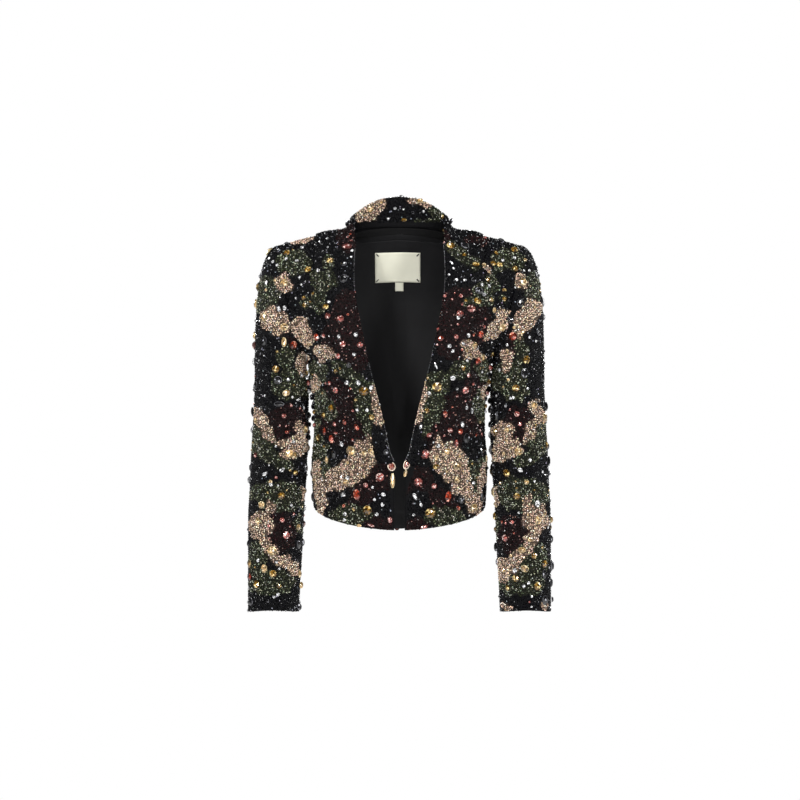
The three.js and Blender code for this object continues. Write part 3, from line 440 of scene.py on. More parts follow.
def blend_rows(rows, v):
    """Smooth rows at each v, from curves whose points lie in rows[k]."""
    first, last = 2 * rows[:1] - rows[1:2], 2 * rows[-1:] - rows[-2:-1]
    ext = np.concatenate([first, rows, last])
    k = np.clip(np.floor(v).astype(int), 0, len(rows) - 2)
    t = (v - k).reshape((-1,) + (1,) * (rows.ndim - 1))
    a, b, c, d = (ext[k + n] for n in range(4))
    return hermite(b, limited(b - a, c - b), c, limited(c - b, d - c), t)


def shoulder_seam(t):
    """Points of the shoulder seam, from the neck point (0) to the shoulder point (1)."""
    t = t[:, None]
    seam = NECK_POINT + (SHOULDER_POINT - NECK_POINT) * t
    return seam + np.concatenate([0 * t, 0 * t, SHOULDER_ARCH * np.sin(math.pi * t)], axis=1)


def front_surface(u, v):
    """The left front's outer face: u from the opening (0) to the side, v in rows from the hem."""
    rows = [
        row_curve(r[:3], r[3:6] - [0, SEAM / 2, 0], r[6], u) for r in FRONT_ROWS
    ]
    top = shoulder_seam(u) - [0, SEAM / 2, 0]
    grid = blend_rows(np.array(rows + [top]), v)
    dx = (grid[..., 0] - BUST["x"]) / BUST["half_width"]
    dz = (grid[..., 2] - BUST["z"]) / BUST["half_height"]
    grid[..., 1] -= BUST["out"] * np.exp(-dx * dx - dz * dz)
    return grid


def back_surface(u, v):
    """The back's outer face: u from the wearer's right (-1) to the left, v in rows from the hem."""
    half = np.abs(u)
    rows = [
        row_curve((0, r[0], r[1]), r[2:5] + [0, SEAM / 2, 0], r[5], half) for r in BACK_ROWS
    ]
    angle = np.clip(half / NECK_SHARE, 0, 1) * math.pi / 2
    neck = np.stack([
        NECK_POINT[0] * np.sin(angle),
        NECK_POINT[1] + (BACK_NECK[1] - NECK_POINT[1]) * np.cos(angle),
        NECK_POINT[2] + (BACK_NECK[2] - NECK_POINT[2]) * np.cos(angle),
    ], axis=-1)
    seam = shoulder_seam(np.clip((half - NECK_SHARE) / (1 - NECK_SHARE), 0, 1))
    top = np.where(half[:, None] <= NECK_SHARE, neck, seam) + [0, SEAM / 2, 0]
    grid = blend_rows(np.array(rows + [top]), v)
    grid[..., 0] *= np.where(u < 0, -1, 1)
    return grid


def ring_points(ring, share, cuff):
    """A ring of the sleeve, at shares of the way round. The cuff's ring rises a little in front."""
    angle = share * 2 * math.pi
    arch = CUFF_ARCH * np.maximum(0, np.sin(angle)) ** 2 if cuff else 0 * angle
    return np.stack([
        ring[1] + ring[3] * np.cos(angle),
        ring[2] - ring[4] * np.sin(angle),
        ring[0] + arch,
    ], axis=-1)


def armhole(share):
    """Points round the armhole: 0 at the shoulder, 0.25 in front, 0.5 under the arm."""
    front = share <= 0.5
    down = np.where(front, share * 2, 2 - share * 2)
    v = len(FRONT_ROWS) + (UNDERARM - len(FRONT_ROWS)) * down
    one = np.ones(1)
    return np.where(front[:, None], front_surface(one, v)[:, 0], back_surface(one, v)[:, 0])


def cap_points(share, t):
    """The sleeve's cap, from the armhole (0) to the sleeve's first ring (1)."""
    start = armhole(share) + [0.8, 0, 0]
    low = armhole(np.array([0.5]))[0, 2]
    high = np.clip((start[:, 2] - low) / 188, 0, 1)
    end = ring_points(SLEEVE_RINGS[0], share, False)
    pull = CAP["under_pull"] + (CAP["top_pull"] - CAP["under_pull"]) * high
    drop = CAP["under_drop"] + (CAP["top_drop"] - CAP["under_drop"]) * high
    out = np.stack([
        pull * np.maximum(high, 0.18),
        (start[:, 1] - end[:, 1] * 0.2) * CAP["spread"],
        -pull * np.sqrt(1 - high * high) * 0.75,
    ], axis=-1)
    down = np.stack([4 + 0 * drop, 0 * drop, -drop], axis=-1)
    return hermite(start, out, end, down, t[:, None, None])


def grid_normals(grid, round_grid=False):
    """Outward directions at the points of a grid that is seen from outside."""
    up = np.empty_like(grid)
    up[1:-1] = grid[2:] - grid[:-2]
    up[0], up[-1] = grid[1] - grid[0], grid[-1] - grid[-2]
    if round_grid:
        across = np.roll(grid, -1, axis=1) - np.roll(grid, 1, axis=1)
    else:
        across = np.empty_like(grid)
        across[:, 1:-1] = grid[:, 2:] - grid[:, :-2]
        across[:, 0], across[:, -1] = grid[:, 1] - grid[:, 0], grid[:, -1] - grid[:, -2]
    normal = np.cross(across, up)
    return normal / np.maximum(np.linalg.norm(normal, axis=-1, keepdims=True), 1e-9)


def on_seam(normals, rows, columns):
    """Makes the directions level at a seam, so that the two panels meet there."""
    normals[rows, columns, 1] = 0
    normals /= np.linalg.norm(normals, axis=-1, keepdims=True)


def neck_line():
    """Where the collar is sewn on, from the closing to the back's middle: points and normals."""
    front_cells, across, back_cells, back_across = 28, 10, 28, 20
    front = front_surface(np.linspace(0, 1, across + 1), np.arange(front_cells + 1) / 2)
    front_n = grid_normals(front)
    on_seam(front_n, front_cells, slice(None))
    column = 1 - 2 * np.arange(back_across + 1) / back_across
    back = back_surface(column, np.arange(back_cells + 1) / 2)
    back_n = grid_normals(back)
    on_seam(back_n, back_cells, np.abs(column) > NECK_SHARE - 0.01)
    first = CLOSING * 2 + 1
    neck = (column < NECK_SHARE - 0.01) & (column > -0.01)
    points = np.concatenate([front[first:front_cells, 0], NECK_POINT[None], back[back_cells, neck]])
    normals = np.concatenate([
        front_n[first:front_cells, 0], front_n[front_cells, 0][None], back_n[back_cells, neck],
    ])
    return points, normals


def body_cloud():
    """Points over the body where the collar lies, with their evened-out normals."""
    step = COLLAR_CLOUD
    front = front_surface(
        np.arange(0, 1.001, step["around"]),
        np.arange(CLOSING - 1, len(FRONT_ROWS) + 0.001, step["up"]))
    back = back_surface(
        np.arange(1, -1.001, -step["back_around"]),
        np.arange(len(BACK_ROWS) - 3, len(BACK_ROWS) + 0.001, step["back_up"]))
    cloud = np.concatenate([front.reshape(-1, 3), back.reshape(-1, 3)])
    normals = np.concatenate([grid_normals(front).reshape(-1, 3), grid_normals(back).reshape(-1, 3)])
    apart = ((cloud[:, None] - cloud[None]) ** 2).sum(-1)
    return cloud, unit((apart < step["evened"] ** 2).astype(float) @ normals)


def tree_of(points):
    """A tree that finds the nearest of the points."""
    tree = KDTree(len(points))
    for index, point in enumerate(points):
        tree.insert(point, index)
    tree.balance()
    return tree


def collar_grid():
    """The collar's half sections as in the solids, from the closing to the back's middle."""
    points, normals = neck_line()
    mirror = points[-2] * [-1, 1, 1]
    after = np.concatenate([points[1:], mirror[None]])
    before = np.concatenate([points[:1], points[:-1]])
    tangent = unit(after - before)
    length = length_along(points)
    cloud, evened = body_cloud()
    tree = tree_of(cloud)

    low, high = -(2 * WALL + COLLAR["within"]), COLLAR["clear"] + WALL
    sections = []
    for k, (point, normal) in enumerate(zip(points, normals)):
        along = length[k] / length[-1]
        stand, fall, inside = (np.interp(along, COLLAR_ROWS[:, 0], COLLAR_ROWS[:, n]) for n in (1, 2, 3))
        down = unit(np.cross(tangent[k], normal))
        rise = min(stand / COLLAR["high_stand"], 1) ** 0.6
        up = unit(-(1 - rise) * down + rise * np.array([0, 0.08, 1]))
        out = unit(np.cross(tangent[k], up))
        crest = point + up * stand

        def place(q, offset):
            """The point q down the section from its crest: first the stand, then the fall."""
            if q <= stand:
                t = np.clip(q / stand, 0, 1)
                t = t * t * (3 - 2 * t)
                return crest - up * q + unit(out * (1 - t) + normal * t) * offset
            straight = point + down * (q - stand)
            index = tree.find(straight)[1]
            over = (straight - cloud[index]) @ evened[index]
            away = (cloud[index][1] - NECK_POINT[1]) / BRIDGE["reach"]
            lift = BRIDGE["lift"] * math.exp(-away * away) if offset > 0 else 0
            return straight + evened[index] * (offset + lift - over)

        section = [place(stand + inside, low)]
        cells = COLLAR["stand_cells"]
        section += [place(stand * c / cells, low) for c in range(cells, -1, -1)]
        radius, middle = (high - low) / 2, crest + out * (high + low) / 2
        for degrees in (45, 90, 135):
            angle = math.radians(degrees)
            section.append(middle - out * radius * math.cos(angle) + up * radius * math.sin(angle))
        cells = COLLAR["fall_cells"]
        section.append(place(0, high))
        section += [place(fall * c / cells, high) for c in range(1, cells + 1)]
        sections.append(section)
    half = np.array(sections)
    half[-1, :, 0] = 0
    other = half[:-1][::-1] * [-1, 1, 1]
    return np.concatenate([half, other])


def resampled(lines, count):
    """Each line again, with count points evenly along it."""
    points = lines.transpose(1, 0, 2)
    fine = blend_rows(points, np.linspace(0, len(points) - 1, 97)).transpose(1, 0, 2)
    made = []
    for line in fine:
        along = length_along(line)
        made.append(values_at(np.linspace(0, along[-1], count), along, line))
    return np.array(made)


# Soft noise, the same for each run

def noise(points, size, seed):
    """Smooth noise from about -1 to 1 at points of two or three coordinates."""
    source = np.random.default_rng(seed)
    total = np.zeros(len(points))
    for _ in range(7):
        way = source.normal(size=points.shape[1])
        way *= source.uniform(0.6, 1.5) / np.linalg.norm(way)
        total += np.sin(points @ way * 2 * math.pi / size + source.uniform(0, 6.28))
    return total / 2.6


# The picture's view, to place what the photograph shows

CAMERA_TARGET = np.array([
    (PICTURE / 2 - MIDDLE_X) * SCALE, 0, (NECK_Y - PICTURE / 2) * SCALE / math.cos(ELEVATION),
])
CAMERA_BACK = np.array([0, -math.cos(ELEVATION), math.sin(ELEVATION)])
CAMERA_UP = np.array([0, math.sin(ELEVATION), math.cos(ELEVATION)])
CAMERA_AT = CAMERA_TARGET + CAMERA_BACK * DISTANCE


def pictured(points):
    """The picture's x and y of each point, and how far it is from the camera."""
    away = points - CAMERA_AT
    depth = away @ -CAMERA_BACK
    x = PICTURE / 2 + away[..., 0] / depth * DISTANCE / SCALE
    y = PICTURE / 2 - away @ CAMERA_UP / depth * DISTANCE / SCALE
    return np.stack([x, y], axis=-1), depth


def in_patch(xy, x, y, half_x, half_y, turn=0):
    """Which places of the picture lie in this patch."""
    a = math.radians(turn)
    dx, dy = xy[:, 0] - x, xy[:, 1] - y
    along = dx * math.cos(a) + dy * math.sin(a)
    across = -dx * math.sin(a) + dy * math.cos(a)
    return (along / half_x) ** 2 + (across / half_y) ** 2 < 1


def zone_from_front(xy):
    """Camouflage at places of the picture. Two sizes of waves make the patches' borders uneven."""
    warped = xy.astype(float).copy()
    for axis in (0, 1):
        warped[:, axis] += sum(far * noise(xy, size, seed + axis) for far, size, seed in WAVES)
    zone = np.zeros(len(xy), int)
    for kind, patches in PATCHES:
        for patch in patches:
            zone[in_patch(warped, *patch)] = kind
    return zone


def zone_around(points):
    """Camouflage of the sides and the back, which the photograph doesn't show."""
    warped = points * [1, 1, 0.8] + 5 * np.stack([noise(points, 32, n) for n in (11, 12, 13)], axis=-1)
    zone = np.zeros(len(points), int)
    for kind, size, seed, level in PATCHES_AROUND:
        zone[noise(warped, size, seed) > level] = kind
    return zone


def zones(points, normals):
    """The camouflage's colour at each point of the cloth."""
    xy, _ = pictured(points)
    uneven = TURNED_AWAY["uneven"] * noise(points, TURNED_AWAY["size"], TURNED_AWAY["seed"])
    seen = normals @ CAMERA_BACK > TURNED_AWAY["toward"] + uneven
    return np.where(seen, zone_from_front(xy), zone_around(points))


# Meshes

def new_mesh(name, points, faces, tint=None, materials=(), material_of=None, smooth=True):
    """A mesh object from millimetre points and faces that all have the same number of corners."""
    mesh = bpy.data.meshes.new(name)
    faces = np.asarray(faces, np.int32)
    count, corners = faces.shape
    mesh.vertices.add(len(points))
    mesh.vertices.foreach_set("co", (np.asarray(points) * MM).astype(np.float32).ravel())
    mesh.loops.add(count * corners)
    mesh.loops.foreach_set("vertex_index", faces.ravel())
    mesh.polygons.add(count)
    mesh.polygons.foreach_set("loop_start", np.arange(count, dtype=np.int32) * corners)
    mesh.polygons.foreach_set("use_smooth", np.full(count, smooth))
    for material in materials:
        mesh.materials.append(material)
    if material_of is not None:
        mesh.polygons.foreach_set("material_index", np.asarray(material_of, np.int32))
    mesh.update(calc_edges=True)
    mesh.validate()
    if tint is not None:
        layer = mesh.color_attributes.new("tint", "FLOAT_COLOR", "POINT")
        colour = np.concatenate([tint, np.ones((len(tint), 1))], axis=1)
        layer.data.foreach_set("color", colour.astype(np.float32).ravel())
    piece = bpy.data.objects.new(name, mesh)
    bpy.context.scene.collection.objects.link(piece)
    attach(piece, "root")
    return piece


class Cloth:
    """A panel as a fine grid of outer points with their normals."""

    def __init__(self, name, grid, round_grid=False):
        self.name = name
        self.grid = grid
        self.round = round_grid
        self.normals = grid_normals(grid, round_grid)
        self.grid = grid - self.normals * SUNK

    def mirrored(self, name):
        """The same panel on the wearer's other side."""
        other = Cloth.__new__(Cloth)
        other.name, other.round = name, self.round
        other.grid = self.grid[:, ::-1] * [-1, 1, 1]
        other.normals = self.normals[:, ::-1] * [-1, 1, 1]
        return other

    def at(self, a, b):
        """Points and normals at grid places a (rows) and b (columns)."""
        rows, cols = self.grid.shape[:2]
        i = np.clip(np.floor(a).astype(int), 0, rows - 2)
        s = (a - i)[:, None]
        if self.round:
            j = np.floor(b).astype(int)
            t = (b - j)[:, None]
            j, n = j % cols, (j + 1) % cols
        else:
            j = np.clip(np.floor(b).astype(int), 0, cols - 2)
            t, n = (b - j)[:, None], j + 1
        mixed = []
        for field in (self.grid, self.normals):
            low = field[i, j] * (1 - t) + field[i, n] * t
            high = field[i + 1, j] * (1 - t) + field[i + 1, n] * t
            mixed.append(low * (1 - s) + high * s)
        return mixed[0], unit(mixed[1])

    def closed_grid(self):
        """The grid, with its first column again at the end where the cloth goes all round."""
        return np.concatenate([self.grid, self.grid[:, :1]], axis=1) if self.round else self.grid

    def cell_areas(self):
        """The area of each cell of the grid, in square millimetres."""
        grid = self.closed_grid()
        side = grid[:-1, 1:] - grid[:-1, :-1]
        up = grid[1:, :-1] - grid[:-1, :-1]
        return np.linalg.norm(np.cross(side, up), axis=-1)

    def declared(self, piece, held, rests_on, with_pieces=()):
        """Does nothing: the cut of the cloth, its widest row, longest column and area in metres, is not
        worked out here.
        """

    def scattered(self, count):
        """Places spread evenly over the cloth at random."""
        area = self.cell_areas()
        chosen = random.choice(area.size, count, p=(area / area.sum()).ravel())
        i, j = np.unravel_index(chosen, area.shape)
        return i + random.random(count), j + random.random(count)

    def shell(self, thick, outer, inner, tint, rim=None):
        """The closed cloth, with the outer material outside and the inner one inside."""
        rows, cols = self.grid.shape[:2]
        index = np.arange(rows * cols).reshape(rows, cols)
        if self.round:
            index = np.concatenate([index, index[:, :1]], axis=1)
        points = np.concatenate([
            self.grid.reshape(-1, 3), (self.grid - self.normals * thick).reshape(-1, 3),
        ])
        below = rows * cols

        def quads(a, b, c, d):
            return np.stack([x.ravel() for x in (a, b, c, d)], axis=-1)

        top = quads(index[:-1, :-1], index[:-1, 1:], index[1:, 1:], index[1:, :-1])
        under = top[:, ::-1] + below
        rims = [(index[0], True), (index[-1], False)]
        if not self.round:
            rims += [(index[:, 0], False), (index[:, -1], True)]
        edges = []
        for line, flip in rims:
            a, b = (line[1:], line[:-1]) if not flip else (line[:-1], line[1:])
            edges.append(np.stack([a, b, b + below, a + below], axis=-1)[:, ::-1])
        edges = np.concatenate(edges)
        faces = np.concatenate([top, under, edges])
        which = np.concatenate([np.zeros(len(top)), np.ones(len(under)), np.full(len(edges), 2)])
        colour = np.concatenate([tint, np.tile(GROUND[BLACK], (below, 1))])
        return new_mesh(
            self.name + "_cloth", points, faces, colour, [outer, inner, rim or inner], which)


# Materials

def principled(name, rough, metal=0.0, coat=0.0, specular=0.5):
    """A material of one plain kind, and its shader."""
    material = bpy.data.materials.new(name)
    material.use_nodes = True
    shader = material.node_tree.nodes["Principled BSDF"]
    shader.inputs["Roughness"].default_value = rough
    shader.inputs["Metallic"].default_value = metal
    shader.inputs["Specular IOR Level"].default_value = specular
    shader.inputs["Coat Weight"].default_value = coat
    shader.inputs["Coat Roughness"].default_value = 0.1
    return material, shader


def tinted(name, rough, metal=0.0, coat=0.0, specular=0.5, rough_spread=0.0, grain=None):
    """A material whose colour is the piece's own tint, with a little unevenness."""
    material, shader = principled(name, rough, metal, coat, specular=specular)
    tree = material.node_tree
    tint = tree.nodes.new("ShaderNodeAttribute")
    tint.attribute_name = "tint"
    tree.links.new(tint.outputs["Color"], shader.inputs["Base Color"])
    if rough_spread:
        spots = tree.nodes.new("ShaderNodeTexNoise")
        spots.inputs["Scale"].default_value = 900
        spots.inputs["Detail"].default_value = 1
        span = tree.nodes.new("ShaderNodeMapRange")
        span.inputs["To Min"].default_value = rough - rough_spread
        span.inputs["To Max"].default_value = rough + rough_spread
        tree.links.new(spots.outputs["Fac"], span.inputs["Value"])
        tree.links.new(span.outputs["Result"], shader.inputs["Roughness"])
    if grain:
        cells = tree.nodes.new("ShaderNodeTexVoronoi")
        cells.inputs["Scale"].default_value = grain
        bump = tree.nodes.new("ShaderNodeBump")
        bump.inputs["Strength"].default_value = 0.6
        bump.inputs["Distance"].default_value = 0.0006
        tree.links.new(cells.outputs["Distance"], bump.inputs["Height"])
        tree.links.new(bump.outputs["Normal"], shader.inputs["Normal"])
    return material


def woven(name, colour, rough, threads=800, lift=0.00012, specular=0.3):
    """Plain woven cloth, with threads both ways."""
    material, shader = principled(name, rough, specular=specular)
    tree = material.node_tree
    place = tree.nodes.new("ShaderNodeTexCoord")
    waves = []
    for direction in ("X", "Z"):
        wave = tree.nodes.new("ShaderNodeTexWave")
        wave.bands_direction = direction
        wave.inputs["Scale"].default_value = threads
        wave.inputs["Distortion"].default_value = 0.6
        tree.links.new(place.outputs["Object"], wave.inputs["Vector"])
        waves.append(wave)
    both = tree.nodes.new("ShaderNodeMath")
    both.operation = "MULTIPLY"
    tree.links.new(waves[0].outputs["Fac"], both.inputs[0])
    tree.links.new(waves[1].outputs["Fac"], both.inputs[1])
    bump = tree.nodes.new("ShaderNodeBump")
    bump.inputs["Distance"].default_value = lift
    bump.inputs["Strength"].default_value = 0.5
    tree.links.new(both.outputs[0], bump.inputs["Height"])
    tree.links.new(bump.outputs["Normal"], shader.inputs["Normal"])
    cloudy = tree.nodes.new("ShaderNodeTexNoise")
    cloudy.inputs["Scale"].default_value = 35
    tree.links.new(place.outputs["Object"], cloudy.inputs["Vector"])
    ramp = tree.nodes.new("ShaderNodeValToRGB")
    for stop, share in zip(ramp.color_ramp.elements, (0.88, 1.1)):
        stop.color = (*(c * share for c in colour), 1)
    tree.links.new(cloudy.outputs["Fac"], ramp.inputs["Fac"])
    tree.links.new(ramp.outputs["Color"], shader.inputs["Base Color"])
    return material


ground_cloth = tinted("beaded_ground", 0.7, specular=0.1, grain=420)
lining_cloth = woven("lining", (0.0042, 0.0041, 0.0048), 0.6, specular=0.16)
edge_cloth = woven("cut_edge", (0.0042, 0.0041, 0.0044), 0.75, specular=0.14)
label_cloth = woven("label_weave", (0.69, 0.68, 0.56), 0.85, threads=1200, lift=0.00008, specular=0.15)
thread_black, thread_shader = principled("black_thread", 0.6, specular=0.2)
thread_shader.inputs["Base Color"].default_value = (0.012, 0.012, 0.013, 1)
bead_glass = tinted("seed_beads", 0.17, specular=0.27, rough_spread=0.07)
stone_glass = tinted("cut_stones", 0.08, metal=0.2, coat=1.0)
rim_metal = tinted("stone_settings", 0.3, metal=0.7, rough_spread=0.08)


# Panels. The grids run up and, seen from outside, to the right.

def sleeve_grid(around):
    """The left sleeve from the cuff to the armhole, at these shares of the way round."""
    last = len(SLEEVE_RINGS) - 1
    rings = np.array([ring_points(ring, around, k == last) for k, ring in enumerate(SLEEVE_RINGS)])
    arm = blend_rows(rings, np.linspace(last, 0, 86)[:-1])
    return np.concatenate([arm, cap_points(around, np.linspace(1, 0, 50))])


def creased(cloth, around):
    """Soft troughs across the bend of the elbow and a few shallow ones down the arm."""
    depth = np.zeros(cloth.grid.shape[:2])
    for z, where, deep, tall, wide in CREASES:
        gap = np.abs(around - where)
        gap = np.minimum(gap, 1 - gap)
        slanted = cloth.grid[..., 2] - z - CREASE_SLANT * (around - where)
        depth += deep * np.exp(-((slanted / tall) ** 2) - (gap / wide) ** 2)
    cloth.grid = cloth.grid - cloth.normals * depth[..., None]
    cloth.normals = grid_normals(cloth.grid, True)


def eased(cloth, amount, size, seed):
    """Uneven cloth: shallow swells and hollows that only go inwards, and none at the edges."""
    rows, cols = cloth.grid.shape[:2]
    i, j = np.mgrid[0:rows, 0:cols]
    edge = np.minimum(np.minimum(i, rows - 1 - i), np.minimum(j, cols - 1 - j)) / 8
    swell = noise(cloth.grid.reshape(-1, 3), size, seed).reshape(rows, cols)
    depth = amount * (0.5 + 0.5 * np.clip(swell, -1, 1)) * np.clip(edge, 0, 1)
    cloth.grid = cloth.grid - cloth.normals * depth[..., None]
    cloth.normals = grid_normals(cloth.grid, cloth.round)


rows_up = len(FRONT_ROWS)  # the back has as many
left_front = Cloth("left_front", front_surface(np.linspace(0, 1, 48), np.linspace(0, rows_up, 120)))
back = Cloth("back", back_surface(np.linspace(1, -1, 97), np.linspace(0, rows_up, 126)))
round_the_arm = -np.arange(84) / 84 % 1.0
left_sleeve = Cloth("left_sleeve", sleeve_grid(round_the_arm), round_grid=True)
creased(left_sleeve, round_the_arm)
eased(left_front, 1.2, 110, 51)
eased(back, 1.4, 130, 52)
right_front = left_front.mirrored("right_front")
right_sleeve = left_sleeve.mirrored("right_sleeve")
sections = collar_grid()
stations = np.linspace(0, len(sections) - 1, 236)
collar = Cloth("collar", resampled(blend_rows(sections, stations), 38))
panels = [left_front, right_front, back, left_sleeve, right_sleeve, collar]


def covered(cloth, points, normals):
    """True where beadwork is left out: under the lapel, on the plain edges and on the inside."""
    x, y, z = np.abs(points[:, 0]), points[:, 1], points[:, 2]
    hidden = np.zeros(len(points), bool)
    if cloth.name in STRIP:
        edge = np.interp(z, FRONT_ROWS[:, 2], FRONT_ROWS[:, 0])
        hidden |= (x - edge < np.interp(z, STRIP_Z, STRIP[cloth.name])) & (z < STRIP_Z[-1])
        hidden |= (x - edge < np.interp(z, LAPEL_Z, LAPEL_WIDTH)) & (z > LAPEL_LOW)
    if cloth.name == "back":
        hidden |= (z > UNDER_COLLAR["low"]) & (x < UNDER_COLLAR["half_width"])
    if cloth.name == "collar":
        bare = BARE_COLLAR
        hidden |= (normals[:, 1] < bare["inward"]) & (y > bare["behind"]) & (z < bare["band_low"])
        hidden |= (normals[:, 1] > bare["backward"]) & (y < bare["in_front"])
    return hidden


# Stones

all_points = np.concatenate([p.grid.reshape(-1, 3) for p in panels])
all_normals = np.concatenate([p.normals.reshape(-1, 3) for p in panels])
all_owner = np.concatenate([np.full(p.grid.shape[0] * p.grid.shape[1], k) for k, p in enumerate(panels)])
all_xy, all_depth = pictured(all_points)
facing = all_normals @ CAMERA_BACK > SEAT["facing"]


def seat(x, y):
    """The front-most place on the cloth that the picture shows at x, y."""
    apart = np.where(facing, ((all_xy - [x, y]) ** 2).sum(1), 1e9)
    near = np.flatnonzero(apart < SEAT["near"] ** 2)
    if len(near) == 0:
        return int(np.argmin(apart))
    return int(near[np.argmin(all_depth[near] + SEAT["weight"] * apart[near])])


def picture_stone(kind, x, y, width, height, turn=0):
    """A stone where the picture shows it, moved along the cloth from the nearest grid point.

    Those at the outline are sewn over the fold: they lean out of it and show their face.
    """
    at = seat(x, y)
    point, normal = all_points[at], all_normals[at]
    right, down = (np.array([x, y]) - all_xy[at]) * SCALE * all_depth[at] / DISTANCE
    move = np.array([right, 0, 0]) - CAMERA_UP * down
    toward = normal @ CAMERA_BACK
    if toward > EDGE_STONE["toward"]:
        point = point + move - CAMERA_BACK * (move @ normal) / toward
    else:
        far = max(np.linalg.norm(move), 1e-6)
        point = point + move * min(1, EDGE_STONE["out"] / far)
        normal = unit(normal + EDGE_STONE["lean"] * CAMERA_BACK)
    return kind, point, normal, width, height, turn, all_owner[at]


stones = [picture_stone(kind, *row) for kind, rows in STONES.items() for row in rows]
closure_stones = {name: picture_stone("closure", *row) for name, row in CLOSURE.items()}

placed_first = stones + list(closure_stones.values())
taken = [s[1] for s in placed_first]
taken_radius = [max(s[3], s[4]) / 2 for s in placed_first]


def scatter_stones(tries, sizes, gap, hidden_only):
    """More stones where there is room for them, larger ones only where the picture has none."""
    for owner, cloth in enumerate(panels):
        count = int(tries * cloth.cell_areas().sum() / 1e5)
        points, normals = cloth.at(*cloth.scattered(count))
        keep = ~covered(cloth, points, normals)
        if hidden_only:
            keep &= normals @ CAMERA_BACK < HIDDEN["toward"]
            if cloth.name == "collar":
                keep &= (points[:, 1] > HIDDEN["behind"]) & (normals[:, 2] < HIDDEN["upward"])
        points, normals = points[keep], normals[keep]
        zone = zones(points, normals)
        tree = tree_of(taken)
        placed = []
        for point, normal, here in zip(points, normals, zone):
            size = random.uniform(*sizes)
            clash = any(
                distance < size / 2 + taken_radius[index] + gap
                for _, index, distance in tree.find_range(point, size / 2 + LARGEST + gap))
            clash = clash or any(np.linalg.norm(point - p) < size / 2 + r + gap for p, r in placed)
            if clash:
                continue
            kinds, odds = BY_ZONE[int(here)]
            kind = kinds[random.choice(len(kinds), p=odds)]
            tall = random.uniform(1.0, 1.45) if size > ROUND_BELOW else 1.0
            placed.append((point, size * tall / 2))
            stones.append((kind, point, normal, size, size * tall, random.uniform(-40, 40), owner))
        taken.extend(p for p, _ in placed)
        taken_radius.extend(r for _, r in placed)


scatter_stones(**LARGE_STONES, hidden_only=True)
scatter_stones(**SMALL_STONES, hidden_only=False)


def stone_template(kind):
    """Corners of the triangles of a stone one unit in radius, and the same for its setting."""
    sides = 12 if kind == "closure" else 8
    angles = (np.arange(sides) + 0.5) * 2 * math.pi / sides
    ring = np.stack([np.cos(angles), np.sin(angles)], axis=-1)
    between = np.stack([np.cos(angles + math.pi / sides), np.sin(angles + math.pi / sides)], axis=-1)

    def level(size, height, way=ring):
        return np.concatenate([way * size, np.full((sides, 1), height)], axis=1)

    wide, table = GIRDLE_AND_TABLE.get(kind, USUAL_GIRDLE_AND_TABLE)
    girdle, crown = level(wide, STONE["girdle"]), level(table, STONE["table"], between)
    centre, culet = np.array([0, 0, STONE["top"]]), np.array([0, 0, STONE["culet"]])
    triangles = []
    for k in range(sides):
        n = (k + 1) % sides
        triangles += [(girdle[k], girdle[n], crown[k]), (girdle[n], crown[n], crown[k])]
        triangles += [(crown[k], crown[n], centre), (girdle[n], girdle[k], culet)]
    setting = []
    foot, lip = level(1.0, STONE["foot"]), level(1.0, STONE["lip"])
    for k in range(sides):
        n = (k + 1) % sides
        setting += [(foot[k], foot[n], lip[n]), (foot[k], lip[n], lip[k])]
        setting += [(lip[k], lip[n], girdle[n]), (lip[k], girdle[n], girdle[k])]
    return np.array(triangles), np.array(setting)


def facet_colours(kind, amount, facets):
    """A colour for each facet, as painted light: mostly painted shade, some painted lit facets, a few
    painted highlights in the stone's spark colour.
    """
    # painted shade and painted light on the facets, which stand in for their reflections
    deep = random.uniform(0.05, 0.7, (amount, facets))
    lighter = random.random((amount, facets)) < 0.34
    shade = np.where(lighter, random.uniform(0.8, 1.7, (amount, facets)), deep)
    own = random.uniform(0.75, 1.25, (amount, 1, 1))
    colour = shade[..., None] * np.array(GEM[kind]) * own
    spark = random.random((amount, facets)) < PAINTED_SPARK_SHARE.get(kind, USUAL_PAINTED_SPARK_SHARE)
    return np.clip(np.where(spark[..., None], np.array(PAINTED_SPARK[kind]), colour), 0, 0.95)


def frames(normals, turns):
    """Across and up directions on the cloth at each stone or bead, turned as it is."""
    up = np.array([0, 0, 1.0]) - normals * normals[:, 2:3]
    bad = np.linalg.norm(up, axis=1) < 0.2
    up[bad] = np.cross(normals[bad], [1.0, 0, 0])
    up = unit(up)
    across = np.cross(up, normals)
    a = np.radians(turns)[:, None]
    return across * np.cos(a) - up * np.sin(a), across * np.sin(a) + up * np.cos(a)


